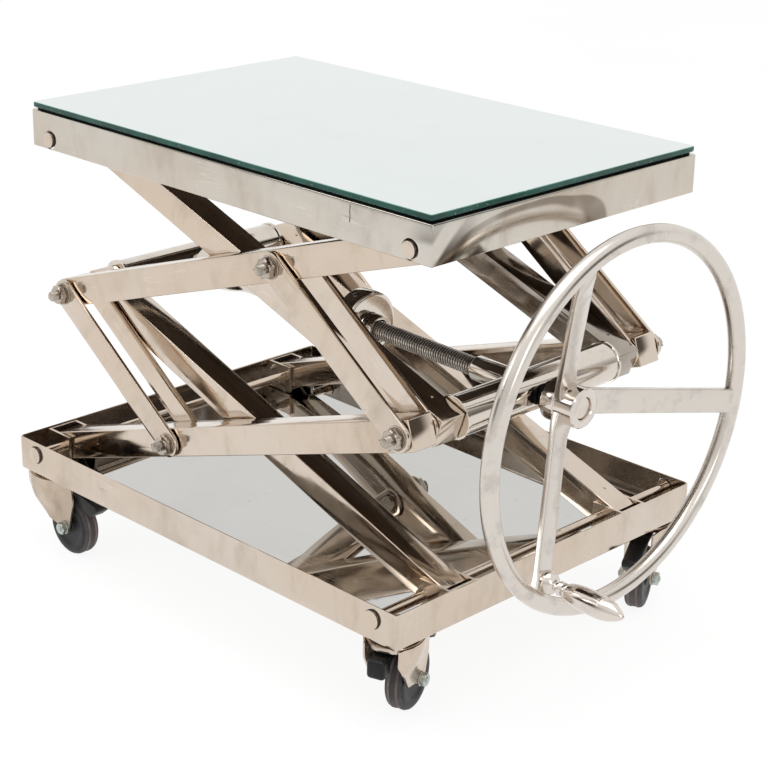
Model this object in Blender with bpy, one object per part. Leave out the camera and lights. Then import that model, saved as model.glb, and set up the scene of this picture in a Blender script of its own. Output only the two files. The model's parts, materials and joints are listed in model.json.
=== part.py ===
"""Crank-operated scissor lift table on casters, with a glass top.

Metres, +Z up. The origin is the centre of the lower tray's floor, on its upper
face. +X points to the handwheel, and the piece is symmetric in Y. Two pairs of
outer bars and two pairs of inner bars carry the top, and a lead screw between
the two mid-height cross tubes folds them. Each pivot runs along Y.
"""
import math

import bmesh
import bpy
from mathutils import Matrix, Vector

# ---- driving dimensions ----
SHEET = 0.003
GAP = 0.0003

BASE_LENGTH = 0.914
BASE_WIDTH = 0.692
BASE_RIM = 0.058
TOP_LENGTH = 0.910
TOP_WIDTH = 0.590
TOP_RIM = 0.060
TOP_SHIFT = 0.003
CORNER = 0.010
GLASS = (0.901, 0.586, 0.006)
PAD = (0.893, 0.578, 0.0055)
GLASS_CORNER = 0.012

# The fold: two bar angles at rest and the pivots they turn on.
BAR_LENGTH = 0.846
OUTER_ANGLE = math.radians(18.0)
INNER_ANGLE = math.radians(19.6)
PIVOT_X = 0.409
BASE_PIVOT_Z = 0.033
LINK_REACH = 0.302

BAR = 0.048
BAR_WALL = 0.003
BAR_END = 0.021
BAR_EDGE = 0.0015
OUTER_Y = 0.258
INNER_Y = 0.202
LINK_WIDTH = 0.046
OUTER_LINK = (0.2845, 0.2905)
INNER_LINK = (0.2275, 0.2325)

SHAFT_R = 0.008
HEAD_R = 0.0145
PIN_R = 0.009
WASHER_R = 0.019
NUT_FLAT = 0.0142
OPEN_HOLE_R = 0.0153
RUNNING = 0.0004

TUBE_R = 0.032
TUBE_FLANGE_R = 0.034
TUBE_HALF = 0.1762
JOURNAL_R = 0.017
THREAD_R = 0.0152

HUB_R = 0.0325
RIM_R = 0.2845
RIM_TUBE_R = 0.015
RIM_OFFSET = 0.172
SPOKE_ANGLES = (114.6, -7.3, 234.5)
HANDLE_R = 0.2545
SPOKE_WIDTH = 0.040
SPOKE_THICK = 0.011

CLEVIS_FOOT = 0.0024
CASTER_X = 0.412
CASTER_Y = 0.301
CASTER_TRAIL = 0.045
WHEEL_R = 0.052
WHEEL_WIDTH = 0.030
AXLE_Z = -0.096
CROWN_R = 0.050
CROWN_TOP = -0.0073
CROWN_DEEP = 0.0095
BRAKE_PIVOT_Z = -0.024

NEAR, FAR = -1, 1
SIDES = (("near", NEAR), ("far", FAR))


# ---- worked out from the driving dimensions ----
def along(start, angle, length):
    """Point a length away from start, at an angle above +X, in the X-Z plane."""
    return Vector((start.x + length * math.cos(angle), 0.0, start.z + length * math.sin(angle)))


BASE_LEFT = Vector((-PIVOT_X, 0.0, BASE_PIVOT_Z))
BASE_RIGHT = Vector((PIVOT_X, 0.0, BASE_PIVOT_Z))
MID_RIGHT = along(BASE_LEFT, OUTER_ANGLE, BAR_LENGTH)
MID_LEFT = along(BASE_RIGHT, math.pi - INNER_ANGLE, BAR_LENGTH)
TOP_LEFT = along(MID_RIGHT, math.pi - INNER_ANGLE, BAR_LENGTH)
TOP_RIGHT = along(MID_LEFT, OUTER_ANGLE, BAR_LENGTH)
LINK_LOW = along(BASE_LEFT, OUTER_ANGLE, LINK_REACH)
LINK_HIGH = along(TOP_RIGHT, OUTER_ANGLE, -LINK_REACH)
SCREW_TILT = math.atan2(MID_RIGHT.z - MID_LEFT.z, MID_RIGHT.x - MID_LEFT.x)
SCREW_SPAN = (MID_RIGHT - MID_LEFT).length
RIM_TOP_Z = TOP_LEFT.z + 0.0433
FLOOR_Z = AXLE_Z - WHEEL_R


# ---- scene, materials and small helpers ----
def clear_scene():
    for obj in list(bpy.data.objects):
        bpy.data.objects.remove(obj, do_unlink=True)


def material(name, colour, roughness, metallic):
    mat = bpy.data.materials.new(name)
    mat.use_nodes = True
    shader = mat.node_tree.nodes["Principled BSDF"]
    shader.inputs["Base Color"].default_value = (*colour, 1.0)
    shader.inputs["Roughness"].default_value = roughness
    shader.inputs["Metallic"].default_value = metallic
    return mat


def add_object(name, bm, mat=None):
    """Turn a bmesh into a named object, with round faces shaded smooth."""
    bmesh.ops.recalc_face_normals(bm, faces=bm.faces)
    mesh = bpy.data.meshes.new(name)
    bm.to_mesh(mesh)
    bm.free()
    mesh.shade_smooth()
    mesh.set_sharp_from_angle(angle=math.radians(35.0))
    if mat:
        mesh.materials.append(mat)
    obj = bpy.data.objects.new(name, mesh)
    bpy.context.scene.collection.objects.link(obj)
    return obj


def box(low, high):
    bm = bmesh.new()
    bmesh.ops.create_cube(bm, size=1.0)
    low, high = Vector(low), Vector(high)
    bmesh.ops.scale(bm, vec=high - low, verts=bm.verts)
    bmesh.ops.translate(bm, vec=(low + high) / 2, verts=bm.verts)
    return bm


def merged(*parts):
    """One bmesh holding several shapes, for a cutter made of separate pieces."""
    result = bmesh.new()
    for part in parts:
        mesh = bpy.data.meshes.new("part")
        part.to_mesh(mesh)
        part.free()
        result.from_mesh(mesh)
        bpy.data.meshes.remove(mesh)
    return result


def moved(bm, matrix):
    bmesh.ops.transform(bm, matrix=matrix, verts=bm.verts)
    return bm


def turned(profile, steps=24, hexes=()):
    """Closed solid around Z from (z, radius) pairs; stations in hexes are hexagonal.

    A hexagonal station's radius is measured to its flats.
    """
    bm = bmesh.new()
    rings = []
    for index, (z, radius) in enumerate(profile):
        ring = []
        for step in range(steps):
            turn = 2 * math.pi * step / steps
            reach = radius
            if index in hexes:
                reach = radius / math.cos(turn % (math.pi / 3) - math.pi / 6)
            ring.append(bm.verts.new((reach * math.cos(turn), reach * math.sin(turn), z)))
        rings.append(ring)
    for lower, upper in zip(rings, rings[1:]):
        for step in range(steps):
            after = (step + 1) % steps
            bm.faces.new((lower[step], lower[after], upper[after], upper[step]))
    bm.faces.new(rings[0][::-1])
    bm.faces.new(rings[-1])
    return bm


def ring_of(profile, steps=24):
    """Closed ring around Z from a loop of (z, radius) pairs that never reaches the axis."""
    bm = bmesh.new()
    verts = [bm.verts.new((radius, 0.0, z)) for z, radius in profile]
    edges = [bm.edges.new((a, b)) for a, b in zip(verts, verts[1:] + verts[:1])]
    bmesh.ops.spin(bm, geom=verts + edges, cent=(0, 0, 0), axis=(0, 0, 1), dvec=(0, 0, 0),
                   angle=2 * math.pi, steps=steps, use_merge=True)
    bmesh.ops.remove_doubles(bm, verts=bm.verts, dist=1e-6)
    return bm


def outline(points, low, high):
    """Extrude a closed (x, z) outline along Y, from low to high."""
    bm = bmesh.new()
    face = bm.faces.new([bm.verts.new((x, low, z)) for x, z in points])
    grown = bmesh.ops.extrude_face_region(bm, geom=[face])
    verts = [item for item in grown["geom"] if isinstance(item, bmesh.types.BMVert)]
    bmesh.ops.translate(bm, vec=(0, high - low, 0), verts=verts)
    return bm


def arc(centre, radius, start, stop, steps):
    """Points of an arc in degrees, both ends included."""
    turns = [math.radians(start + (stop - start) * i / steps) for i in range(steps + 1)]
    return [(centre[0] + radius * math.cos(t), centre[1] + radius * math.sin(t)) for t in turns]


def rounded_box(low, high, radii, steps=3):
    """Box with vertical corners of the given radii, counter-clockwise from (-X, -Y)."""
    bm = bmesh.new()
    x0, y0, z0 = low
    x1, y1, z1 = high
    corners = ((x0, y0, 180), (x1, y0, 270), (x1, y1, 0), (x0, y1, 90))
    points = []
    for (x, y, start), radius in zip(corners, radii):
        if radius == 0:
            points.append((x, y))
            continue
        centre = (x + radius if x == x0 else x - radius, y + radius if y == y0 else y - radius)
        points += arc(centre, radius, start, start + 90, steps)
    face = bm.faces.new([bm.verts.new((x, y, z0)) for x, y in points])
    grown = bmesh.ops.extrude_face_region(bm, geom=[face])
    verts = [item for item in grown["geom"] if isinstance(item, bmesh.types.BMVert)]
    bmesh.ops.translate(bm, vec=(0, 0, z1 - z0), verts=verts)
    bmesh.ops.recalc_face_normals(bm, faces=bm.faces)
    return bm


def cylinder(radius, start, stop, steps=24):
    return turned([(start, radius), (stop, radius)], steps)


def cutter_object(name, bm):
    obj = add_object(name, bm)
    obj.hide_render = True
    obj.display_type = "WIRE"
    return obj


def boolean(obj, other, operation):
    modifier = obj.modifiers.new(operation.lower(), "BOOLEAN")
    modifier.operation = operation
    modifier.object = other


def cut(obj, bm):
    """Cut a shape, given in the object's own coordinates, out of the object."""
    other = cutter_object(obj.name + "_cut", bm)
    other.matrix_world = obj.matrix_world
    boolean(obj, other, "DIFFERENCE")


def join(obj, bm):
    """Weld a shape, given in the object's own coordinates, onto the object."""
    other = cutter_object(obj.name + "_add", bm)
    other.matrix_world = obj.matrix_world
    boolean(obj, other, "UNION")


TURN_TO_Y = Matrix.Rotation(-math.pi / 2, 4, "X")


def across(point, side):
    """Frame at a pivot whose local Z points outward along Y on the given side."""
    frame = Matrix.Translation(point) @ TURN_TO_Y
    return frame if side == FAR else frame @ Matrix.Rotation(math.pi, 4, "X")


def leaning(point, angle):
    """Frame at a pivot whose local X leans up by an angle, with Y unchanged."""
    return Matrix.Translation(point) @ Matrix.Rotation(-angle, 4, "Y")


def along_screw():
    """Frame at the right cross tube whose local Z runs down the screw's axis to +X."""
    return leaning(MID_RIGHT, SCREW_TILT) @ Matrix.Rotation(math.pi / 2, 4, "Y")


# ---- materials ----
def make_materials():
    nickel = (0.67, 0.60, 0.52)
    return {
        "nickel": material("polished_nickel", nickel, 0.10, 1.0),
        "nickel_dull": material("satin_nickel", nickel, 0.28, 1.0),
        "screw": material("oiled_steel", (0.20, 0.18, 0.16), 0.35, 1.0),
        "glass": material("mirrored_glass", (0.72, 0.78, 0.76), 0.03, 0.9),
        "black": material("black_pad", (0.012, 0.012, 0.013), 0.60, 0.0),
        "rubber": material("grey_rubber", (0.045, 0.042, 0.043), 0.70, 0.0),
        "zinc": material("zinc_plate", (0.50, 0.52, 0.50), 0.35, 1.0),
    }


# ---- trays ----
def pan(name, length, width, low, high, centre_x, sharp_corner, floor_low, mat):
    """Sheet-metal pan: four rims and a floor, open at the top or at the bottom."""
    half_x, half_y = length / 2, width / 2
    radii = [CORNER, 0 if sharp_corner else CORNER, CORNER, CORNER]
    bm = rounded_box((-half_x, -half_y, low), (half_x, half_y, high), radii)
    obj = add_object(name, bm, mat)
    obj.location.x = centre_x
    bpy.context.view_layer.update()
    inner_x, inner_y = half_x - SHEET, half_y - SHEET
    inner_radii = [max(radius - SHEET, 0) for radius in radii]
    over = 0.01
    if floor_low:
        bottom, top = low + SHEET, high + over
    else:
        bottom, top = low - over, high - SHEET
    cut(obj, rounded_box((-inner_x, -inner_y, bottom), (inner_x, inner_y, top), inner_radii))
    return obj


def make_base_tray(mats):
    half_y = BASE_WIDTH / 2
    tray = pan("base_tray", BASE_LENGTH, BASE_WIDTH, -SHEET, BASE_RIM - SHEET, 0.0, True, True,
               mats["nickel"])
    drills = []
    for pivot in (BASE_LEFT, BASE_RIGHT):
        for side in (NEAR, FAR):
            drill = cylinder(HEAD_R + RUNNING, -0.01, 0.01, 16)
            drills.append(moved(drill, Matrix.Translation((0, side * half_y, 0)) @ across(pivot, FAR)))
    cut(tray, merged(*drills))
    pads = []
    for x in (-CASTER_X, CASTER_X):
        for y in (-CASTER_Y, CASTER_Y):
            pads.append(moved(cylinder(0.028, -0.007, -0.002, 16), Matrix.Translation((x, y, 0))))
    join(tray, merged(*pads))


def make_top_frame(mats):
    half_y = TOP_WIDTH / 2
    frame = pan("top_frame", TOP_LENGTH, TOP_WIDTH, RIM_TOP_Z - TOP_RIM, RIM_TOP_Z, TOP_SHIFT, True,
                False, mats["nickel"])
    drills = []
    for pivot in (TOP_LEFT, TOP_RIGHT):
        shifted = pivot - Vector((TOP_SHIFT, 0, 0))
        for side in (NEAR, FAR):
            drill = cylinder(HEAD_R + RUNNING, -0.01, 0.01, 16)
            drills.append(moved(drill, Matrix.Translation((0, side * half_y, 0)) @ across(shifted, FAR)))
    cut(frame, merged(*drills))


def make_glass(mats):
    layers = (("glass_pad", PAD, "black"), ("mirror_glass", GLASS, "glass"))
    z = RIM_TOP_Z
    for name, (length, width, thick), mat in layers:
        low = (TOP_SHIFT - length / 2, -width / 2, z + GAP)
        high = (TOP_SHIFT + length / 2, width / 2, z + GAP + thick)
        add_object(name, rounded_box(low, high, [GLASS_CORNER / 2] * 4), mats[mat])
        z = high[2]


# ---- clevises and shafts ----
def make_clevis(name, end, side, plates, boss, mats):
    """Two upright plates on a back plate, welded to the tray's end wall."""
    wall = BASE_LENGTH / 2 - SHEET - GAP
    reach = PIVOT_X - 0.016
    top = BASE_RIM - SHEET - 0.002
    (outer_low, outer_high), (inner_low, inner_high) = plates
    solids = []
    for low, high in plates:
        solids.append(((reach, low), (wall, high)))
    solids.append(((wall - 0.005, inner_low), (wall, outer_high)))
    shapes = []
    for (x0, y0), (x1, y1) in solids:
        xs = sorted((end * x0, end * x1))
        ys = sorted((side * y0, side * y1))
        shapes.append(box((xs[0], ys[0], CLEVIS_FOOT), (xs[1], ys[1], top)))
    obj = add_object(name, shapes[0], mats["nickel"])
    join(obj, shapes[1])
    join(obj, shapes[2])
    pivot = BASE_RIGHT if end > 0 else BASE_LEFT
    if boss:
        sleeve = cylinder(0.0125, outer_high - 0.001, outer_high + boss, 16)
        join(obj, moved(sleeve, across(pivot, side)))
    bore = cylinder(SHAFT_R + RUNNING, inner_low - 0.02, outer_high + 0.03, 16)
    cut(obj, moved(bore, across(pivot, side)))


def make_clevises(mats):
    outer_pair = ((0.2830, 0.2880), (0.2280, 0.2330))
    inner_pair = ((0.2270, 0.2320), (0.1720, 0.1770))
    for label, side in SIDES:
        make_clevis("clevis_left_" + label, -1, side, outer_pair, 0.0, mats)
        make_clevis("clevis_right_" + label, 1, side, inner_pair, 0.012, mats)


def make_shafts(mats):
    """Through shafts with round heads, two in the tray and two in the top frame."""
    places = (("base_shaft_left", BASE_LEFT, BASE_WIDTH), ("base_shaft_right", BASE_RIGHT, BASE_WIDTH),
              ("top_shaft_left", TOP_LEFT, TOP_WIDTH), ("top_shaft_right", TOP_RIGHT, TOP_WIDTH))
    for name, pivot, width in places:
        end = width / 2 + 0.0018
        head = width / 2 - SHEET - 0.001
        profile = [(-end, HEAD_R - 0.0005), (-head, HEAD_R), (-head, SHAFT_R),
                   (head, SHAFT_R), (head, HEAD_R), (end, HEAD_R - 0.0005)]
        shaft = add_object(name, turned(profile, 16), mats["nickel"])
        shaft.matrix_world = across(pivot, FAR)


# ---- bars and links ----
def bar_outline(rounded_start, rounded_stop):
    """Side view of a bar, with its first pivot at the origin and its top up."""
    half = BAR / 2
    low, high = -BAR_END, BAR_LENGTH + BAR_END
    points = []
    points += arc((low + 0.002, -half + 0.002), 0.002, 180, 270, 1)
    points += arc((high - 0.002, -half + 0.002), 0.002, 270, 360, 1)
    stop = 0.014 if rounded_stop else 0.002
    points += arc((high - stop, half - stop), stop, 0, 90, 4 if rounded_stop else 1)
    start = 0.014 if rounded_start else 0.002
    points += arc((low + start, half - start), start, 90, 180, 4 if rounded_start else 1)
    return points


def make_bar(name, frame, side, centre_y, pins, rounded, mat):
    """Square tube with closed ends, drilled for its pins (distance, radius)."""
    half = BAR / 2
    shape = outline(bar_outline(*rounded), -half, half)
    rims = [edge for edge in shape.edges if abs(edge.verts[0].co.y - edge.verts[1].co.y) < 1e-9]
    bmesh.ops.bevel(shape, geom=rims, offset=BAR_EDGE, segments=1, affect="EDGES")
    obj = add_object(name, shape, mat)
    obj.matrix_world = Matrix.Translation((0, side * centre_y, 0)) @ frame
    inside = half - BAR_WALL
    hollow = box((-BAR_END + BAR_WALL, -inside, -inside),
                 (BAR_LENGTH + BAR_END - BAR_WALL, inside, inside))
    cut(obj, hollow)
    drills = []
    for distance, radius in pins:
        drill = cylinder(radius + RUNNING, -half - 0.01, half + 0.01, 12)
        drills.append(moved(drill, Matrix.Translation((distance, 0, 0)) @ TURN_TO_Y))
    cut(obj, merged(*drills))


def make_bars(mats):
    mat = mats["nickel"]
    for label, side in SIDES:
        make_bar("lower_outer_bar_" + label, leaning(BASE_LEFT, OUTER_ANGLE), side, OUTER_Y,
                 ((0, SHAFT_R), (LINK_REACH, PIN_R), (BAR_LENGTH, PIN_R)), (False, False), mat)
        make_bar("lower_inner_bar_" + label, leaning(MID_LEFT, -INNER_ANGLE), side, INNER_Y,
                 ((0, PIN_R), (BAR_LENGTH, SHAFT_R)), (True, False), mat)
        make_bar("upper_inner_bar_" + label, leaning(TOP_LEFT, -INNER_ANGLE), side, INNER_Y,
                 ((0, SHAFT_R), (BAR_LENGTH, PIN_R)), (False, False), mat)
        make_bar("upper_outer_bar_" + label, leaning(MID_LEFT, OUTER_ANGLE), side, OUTER_Y,
                 ((0, PIN_R), (BAR_LENGTH - LINK_REACH, PIN_R), (BAR_LENGTH, SHAFT_R)),
                 (True, False), mat)


def make_link(name, hub, far_end, side, layer, mat):
    """Flat plate with round ends; its far hole is wide enough for the fold's small drift."""
    reach = far_end - hub
    angle = math.atan2(reach.z, reach.x)
    half = LINK_WIDTH / 2
    points = arc((0, 0), half, 90, 270, 7) + arc((reach.length, 0), half, -90, 90, 7)
    low, high = sorted((side * layer[0], side * layer[1]))
    obj = add_object(name, outline(points, low, high), mat)
    obj.matrix_world = leaning(hub, angle)
    drills = []
    for distance, radius in ((0, PIN_R + RUNNING), (reach.length, OPEN_HOLE_R)):
        drill = cylinder(radius, low - 0.01, high + 0.01, 12)
        drills.append(moved(drill, Matrix.Translation((distance, 0, 0)) @ TURN_TO_Y))
    cut(obj, merged(*drills))


def make_links(mats):
    for label, side in SIDES:
        for layer_name, layer in (("outer", OUTER_LINK), ("inner", INNER_LINK)):
            end = "_link_" + layer_name + "_" + label
            make_link("left" + end, MID_LEFT, LINK_LOW, side, layer, mats["nickel"])
            make_link("right" + end, MID_RIGHT, LINK_HIGH, side, layer, mats["nickel"])


# ---- pivot bolts ----
def nut_stack():
    """Stations of the spacer, washer, nut and bolt tip outside a bar, by distance in Y."""
    bar_face = OUTER_Y + BAR / 2
    link_face = OUTER_LINK[1]
    return [(bar_face + GAP, PIN_R), (bar_face + GAP, 0.016), (OUTER_LINK[0] - GAP, 0.016),
            (OUTER_LINK[0] - GAP, PIN_R), (link_face + GAP, PIN_R), (link_face + GAP, WASHER_R),
            (link_face + 0.0032, WASHER_R), (link_face + 0.0032, NUT_FLAT),
            (link_face + 0.0180, NUT_FLAT), (link_face + 0.0180, 0.0082),
            (link_face + 0.0265, 0.0070)]


def make_bolts(mats):
    """Link bolts with a head inside the bar, and stub bolts screwed into the cross tubes."""
    stack = nut_stack()
    head = INNER_LINK[0] - GAP
    link_bolt = [(head - 0.0085, 0.0130), (head, 0.0130), (head, PIN_R)] + stack
    stub = [(TUBE_HALF - 0.030, PIN_R)] + stack
    kinds = (("link_bolt_low", LINK_LOW, link_bolt, (0, 1, 10, 11)),
             ("link_bolt_high", LINK_HIGH, link_bolt, (0, 1, 10, 11)),
             ("stub_bolt_left", MID_LEFT, stub, (8, 9)), ("stub_bolt_right", MID_RIGHT, stub, (8, 9)))
    for name, pivot, profile, hexes in kinds:
        for label, side in SIDES:
            bolt = add_object(name + "_" + label, turned(profile, 12, hexes), mats["nickel"])
            bolt.matrix_world = across(pivot, side)


# ---- cross tubes, nut carrier and screw ----
def make_cross_tube(name, pivot, mats):
    """Tube along Y with a flange and a bored plug at each end."""
    plug = TUBE_HALF - 0.035
    flange = TUBE_HALF - 0.006
    inner = TUBE_R - 0.005
    bore = PIN_R + RUNNING
    profile = [(-TUBE_HALF, bore), (-TUBE_HALF, TUBE_FLANGE_R), (-flange, TUBE_FLANGE_R), (-flange, TUBE_R),
               (flange, TUBE_R), (flange, TUBE_FLANGE_R), (TUBE_HALF, TUBE_FLANGE_R), (TUBE_HALF, bore),
               (plug, bore), (plug, inner), (-plug, inner), (-plug, bore)]
    tube = add_object(name, ring_of(profile, 20), mats["nickel"])
    tube.matrix_world = across(pivot, FAR)
    return tube


def make_carrier(mats):
    """Turned nut carrier: a boss on the left cross tube, a neck, a drum and the nut's collar."""
    root = -SCREW_SPAN + TUBE_R + GAP
    shoulder = -SCREW_SPAN + 0.075
    neck = -SCREW_SPAN + 0.155
    profile = [(root, 0.034), (shoulder, 0.034)]
    for i in range(1, 5):
        t = i / 4
        profile.append((shoulder + (neck - shoulder) * t, 0.022 + 0.012 * math.cos(math.pi * t / 2)))
    profile += [(-0.384, 0.022), (-0.380, 0.057), (-0.378, 0.058), (-0.348, 0.058), (-0.347, 0.0235),
                (-0.324, 0.0235)]
    carrier = add_object("nut_carrier", turned(profile, 28), mats["nickel"])
    carrier.matrix_world = along_screw()
    cut(carrier, cylinder(THREAD_R + 0.0009, -0.600, -0.300, 20))
    saddle = Matrix.Translation((0, 0, -SCREW_SPAN)) @ TURN_TO_Y
    cut(carrier, moved(cylinder(TUBE_R + GAP, -0.06, 0.06, 20), saddle))


def make_screw(mats):
    """Lead screw: thread, thrust sleeve, journal through the tube and plain end in the hub."""
    start, thread_end, sleeve_end, tip = -0.445, -0.111, -TUBE_R - 0.0006, 0.1005
    profile = [(start, THREAD_R - 0.0025), (start + 0.0025, THREAD_R), (thread_end, THREAD_R),
               (thread_end, 0.020), (sleeve_end, 0.020), (sleeve_end, JOURNAL_R),
               (tip - 0.001, JOURNAL_R), (tip, JOURNAL_R - 0.001)]
    screw = add_object("lead_screw", turned(profile, 20), mats["screw"])
    screw.matrix_world = along_screw()


def make_crossing(mats):
    make_cross_tube("cross_tube_left", MID_LEFT, mats)
    right = make_cross_tube("cross_tube_right", MID_RIGHT, mats)
    bpy.context.view_layer.update()
    through = moved(cylinder(JOURNAL_R + RUNNING, -0.06, 0.06, 20), along_screw())
    cut(right, moved(through, right.matrix_world.inverted()))
    make_carrier(mats)
    make_screw(mats)
    low, high = TUBE_R + 0.0006, 0.0436
    profile = [(low, JOURNAL_R + RUNNING), (low, 0.024), (high, 0.024), (high, JOURNAL_R + RUNNING)]
    ring = add_object("thrust_ring", ring_of(profile, 20), mats["black"])
    ring.matrix_world = along_screw()


# ---- handwheel ----
def wheel_point(angle, radius, z):
    """Point of the wheel in the screw's frame; angle 0 points along +Y."""
    turn = math.radians(angle)
    return Vector((-radius * math.sin(turn), radius * math.cos(turn), z))


def spoke(angle):
    """Flat bar that leaves the hub and slants out to the rim."""
    stations = ((0.024, 0.074, 1.15), (0.060, 0.079, 1.0), (0.110, 0.100, 1.0),
                (RIM_R - 0.006, RIM_OFFSET - 0.002, 0.95))
    side = wheel_point(angle, 1.0, 0.0).cross(Vector((0, 0, 1)))
    bm = bmesh.new()
    rings = []
    for radius, z, scale in stations:
        centre = wheel_point(angle, radius, z)
        half_w = side * SPOKE_WIDTH / 2 * scale
        half_t = Vector((0, 0, SPOKE_THICK / 2))
        corners = (centre - half_w - half_t, centre + half_w - half_t,
                   centre + half_w + half_t, centre - half_w + half_t)
        rings.append([bm.verts.new(corner) for corner in corners])
    for lower, upper in zip(rings, rings[1:]):
        for i in range(4):
            j = (i + 1) % 4
            bm.faces.new((lower[i], lower[j], upper[j], upper[i]))
    bm.faces.new(rings[0][::-1])
    bm.faces.new(rings[-1])
    bmesh.ops.recalc_face_normals(bm, faces=bm.faces)
    return bm


def make_handwheel(mats):
    circle = arc((RIM_OFFSET, RIM_R), RIM_TUBE_R, 0, 315, 7)
    wheel = add_object("handwheel", ring_of(circle, 40), mats["nickel"])
    wheel.matrix_world = along_screw()
    for angle in SPOKE_ANGLES:
        join(wheel, spoke(angle))
    hub = [(0.0440, HUB_R + 0.001), (0.0700, HUB_R + 0.001), (0.0700, HUB_R - 0.001),
           (0.1035, HUB_R - 0.001), (0.1045, HUB_R - 0.002)]
    join(wheel, turned(hub, 20))
    boss_at = wheel_point(SPOKE_ANGLES[2], HANDLE_R, RIM_OFFSET)
    boss = [(-0.0080, 0.0150), (0.0020, 0.0188), (0.0140, 0.0188), (0.0220, 0.0130)]
    join(wheel, moved(turned(boss, 14), Matrix.Translation(boss_at)))
    cut(wheel, cylinder(JOURNAL_R + GAP, 0.03, 0.12, 20))


def make_handle(mats):
    """Crank handle that spins on a pin standing out of the boss inside the rim."""
    frame = along_screw() @ Matrix.Translation(wheel_point(SPOKE_ANGLES[2], HANDLE_R, RIM_OFFSET))
    pin = [(0.0223, 0.0080), (0.0280, 0.0080), (0.0280, 0.0108), (0.0445, 0.0108),
           (0.0445, 0.0050), (0.1150, 0.0050)]
    spindle = add_object("handle_spindle", turned(pin, 14), mats["nickel"])
    spindle.matrix_world = frame
    grip = [(0.0450, 0.0145), (0.0560, 0.0172), (0.0740, 0.0181), (0.0960, 0.0170), (0.1150, 0.0135),
            (0.1320, 0.0080), (0.1460, 0.0022)]
    handle = add_object("crank_handle", turned(grip, 18), mats["nickel"])
    handle.matrix_world = frame
    cut(handle, cylinder(0.0054, 0.04, 0.1154, 14))


# ---- casters ----
def caster_frame(x, y, heading):
    """Frame at a caster's swivel axis; local X points the way its wheel trails."""
    return Matrix.Translation((x, y, 0)) @ Matrix.Rotation(math.radians(heading), 4, "Z")


def fork_leg(side):
    """Horn-shaped leg from the crown down to the axle, seen from the side."""
    top, inner, thick = CROWN_TOP - 0.004, WHEEL_WIDTH / 2 + 0.004, 0.004
    points = [(-0.044, top), (0.046, top), (0.070, -0.024), (0.070, -0.052), (0.060, -0.088)]
    points += arc((CASTER_TRAIL, AXLE_Z), 0.0125, -15, -135, 3)
    points += [(0.018, -0.096), (-0.018, -0.070), (-0.038, -0.050), (-0.045, -0.030)]
    low, high = sorted((side * inner, side * (inner + thick)))
    bm = outline(points, low, high)
    bmesh.ops.recalc_face_normals(bm, faces=bm.faces)
    return bm


def make_caster(label, frame, mats):
    crown = [(CROWN_TOP - CROWN_DEEP, CROWN_R), (CROWN_TOP - 0.0025, CROWN_R), (CROWN_TOP, 0.034)]
    fork = add_object("caster_fork_" + label, turned(crown, 24), mats["nickel_dull"])
    fork.matrix_world = frame
    join(fork, fork_leg(-1))
    join(fork, fork_leg(1))
    outer = WHEEL_WIDTH / 2 + 0.008
    hole = moved(cylinder(0.0054, -0.04, 0.04, 12), across(Vector((CASTER_TRAIL, 0, AXLE_Z)), FAR))
    cut(fork, hole)
    axle = [(-outer - 0.0065, 0.0085), (-outer - GAP, 0.0085), (-outer - GAP, 0.0050),
            (outer + GAP, 0.0050), (outer + GAP, 0.0085), (outer + 0.0085, 0.0085)]
    bolt = add_object("caster_axle_" + label, turned(axle, 12, (0, 1, 4, 5)), mats["zinc"])
    bolt.matrix_world = frame @ across(Vector((CASTER_TRAIL, 0, AXLE_Z)), FAR)
    half = WHEEL_WIDTH / 2
    bore = 0.0056
    tyre = [(-half, bore), (-half, WHEEL_R - 0.007), (-half + 0.007, WHEEL_R),
            (half - 0.007, WHEEL_R), (half, WHEEL_R - 0.007), (half, bore)]
    wheel = add_object("caster_wheel_" + label, ring_of(tyre, 28), mats["rubber"])
    wheel.matrix_world = frame @ across(Vector((CASTER_TRAIL, 0, AXLE_Z)), FAR)
    make_brake(label, frame, mats)


def make_brake(label, frame, mats):
    """Foot lever under the crown: a stop block ahead of the wheel and a pedal behind it."""
    block = [(-0.040, -0.0275), (-0.043, -0.053), (-0.047, -0.056), (-0.060, -0.056), (-0.066, -0.050)]
    top = [(-0.066, -0.0235), (-0.062, -0.0205), (0.058, -0.0205), (0.120, -0.034), (0.128, -0.040)]
    pedal = [(0.108, -0.060), (0.092, -0.053), (0.058, -0.0275)]
    points = [(x, z - BRAKE_PIVOT_Z) for x, z in block + top + pedal]
    shape = outline(points, -0.015, 0.015)
    lever = add_object("caster_brake_" + label, shape, mats["black"])
    lever.matrix_world = frame @ Matrix.Translation((0, 0, BRAKE_PIVOT_Z))


def make_casters(mats):
    places = (("near_left", -CASTER_X, -CASTER_Y, 0.0), ("near_right", CASTER_X, -CASTER_Y, 108.0),
              ("far_left", -CASTER_X, CASTER_Y, 20.0), ("far_right", CASTER_X, CASTER_Y, -65.0))
    for label, x, y, heading in places:
        make_caster(label, caster_frame(x, y, heading), mats)


def main():
    clear_scene()
    mats = make_materials()
    make_base_tray(mats)
    make_top_frame(mats)
    make_glass(mats)
    make_clevises(mats)
    make_shafts(mats)
    make_bars(mats)
    make_links(mats)
    make_bolts(mats)
    make_crossing(mats)
    make_handwheel(mats)
    make_handle(mats)
    make_casters(mats)


main()
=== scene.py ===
import json
import math

import bmesh
import bpy
from mathutils import Matrix, Vector


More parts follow.
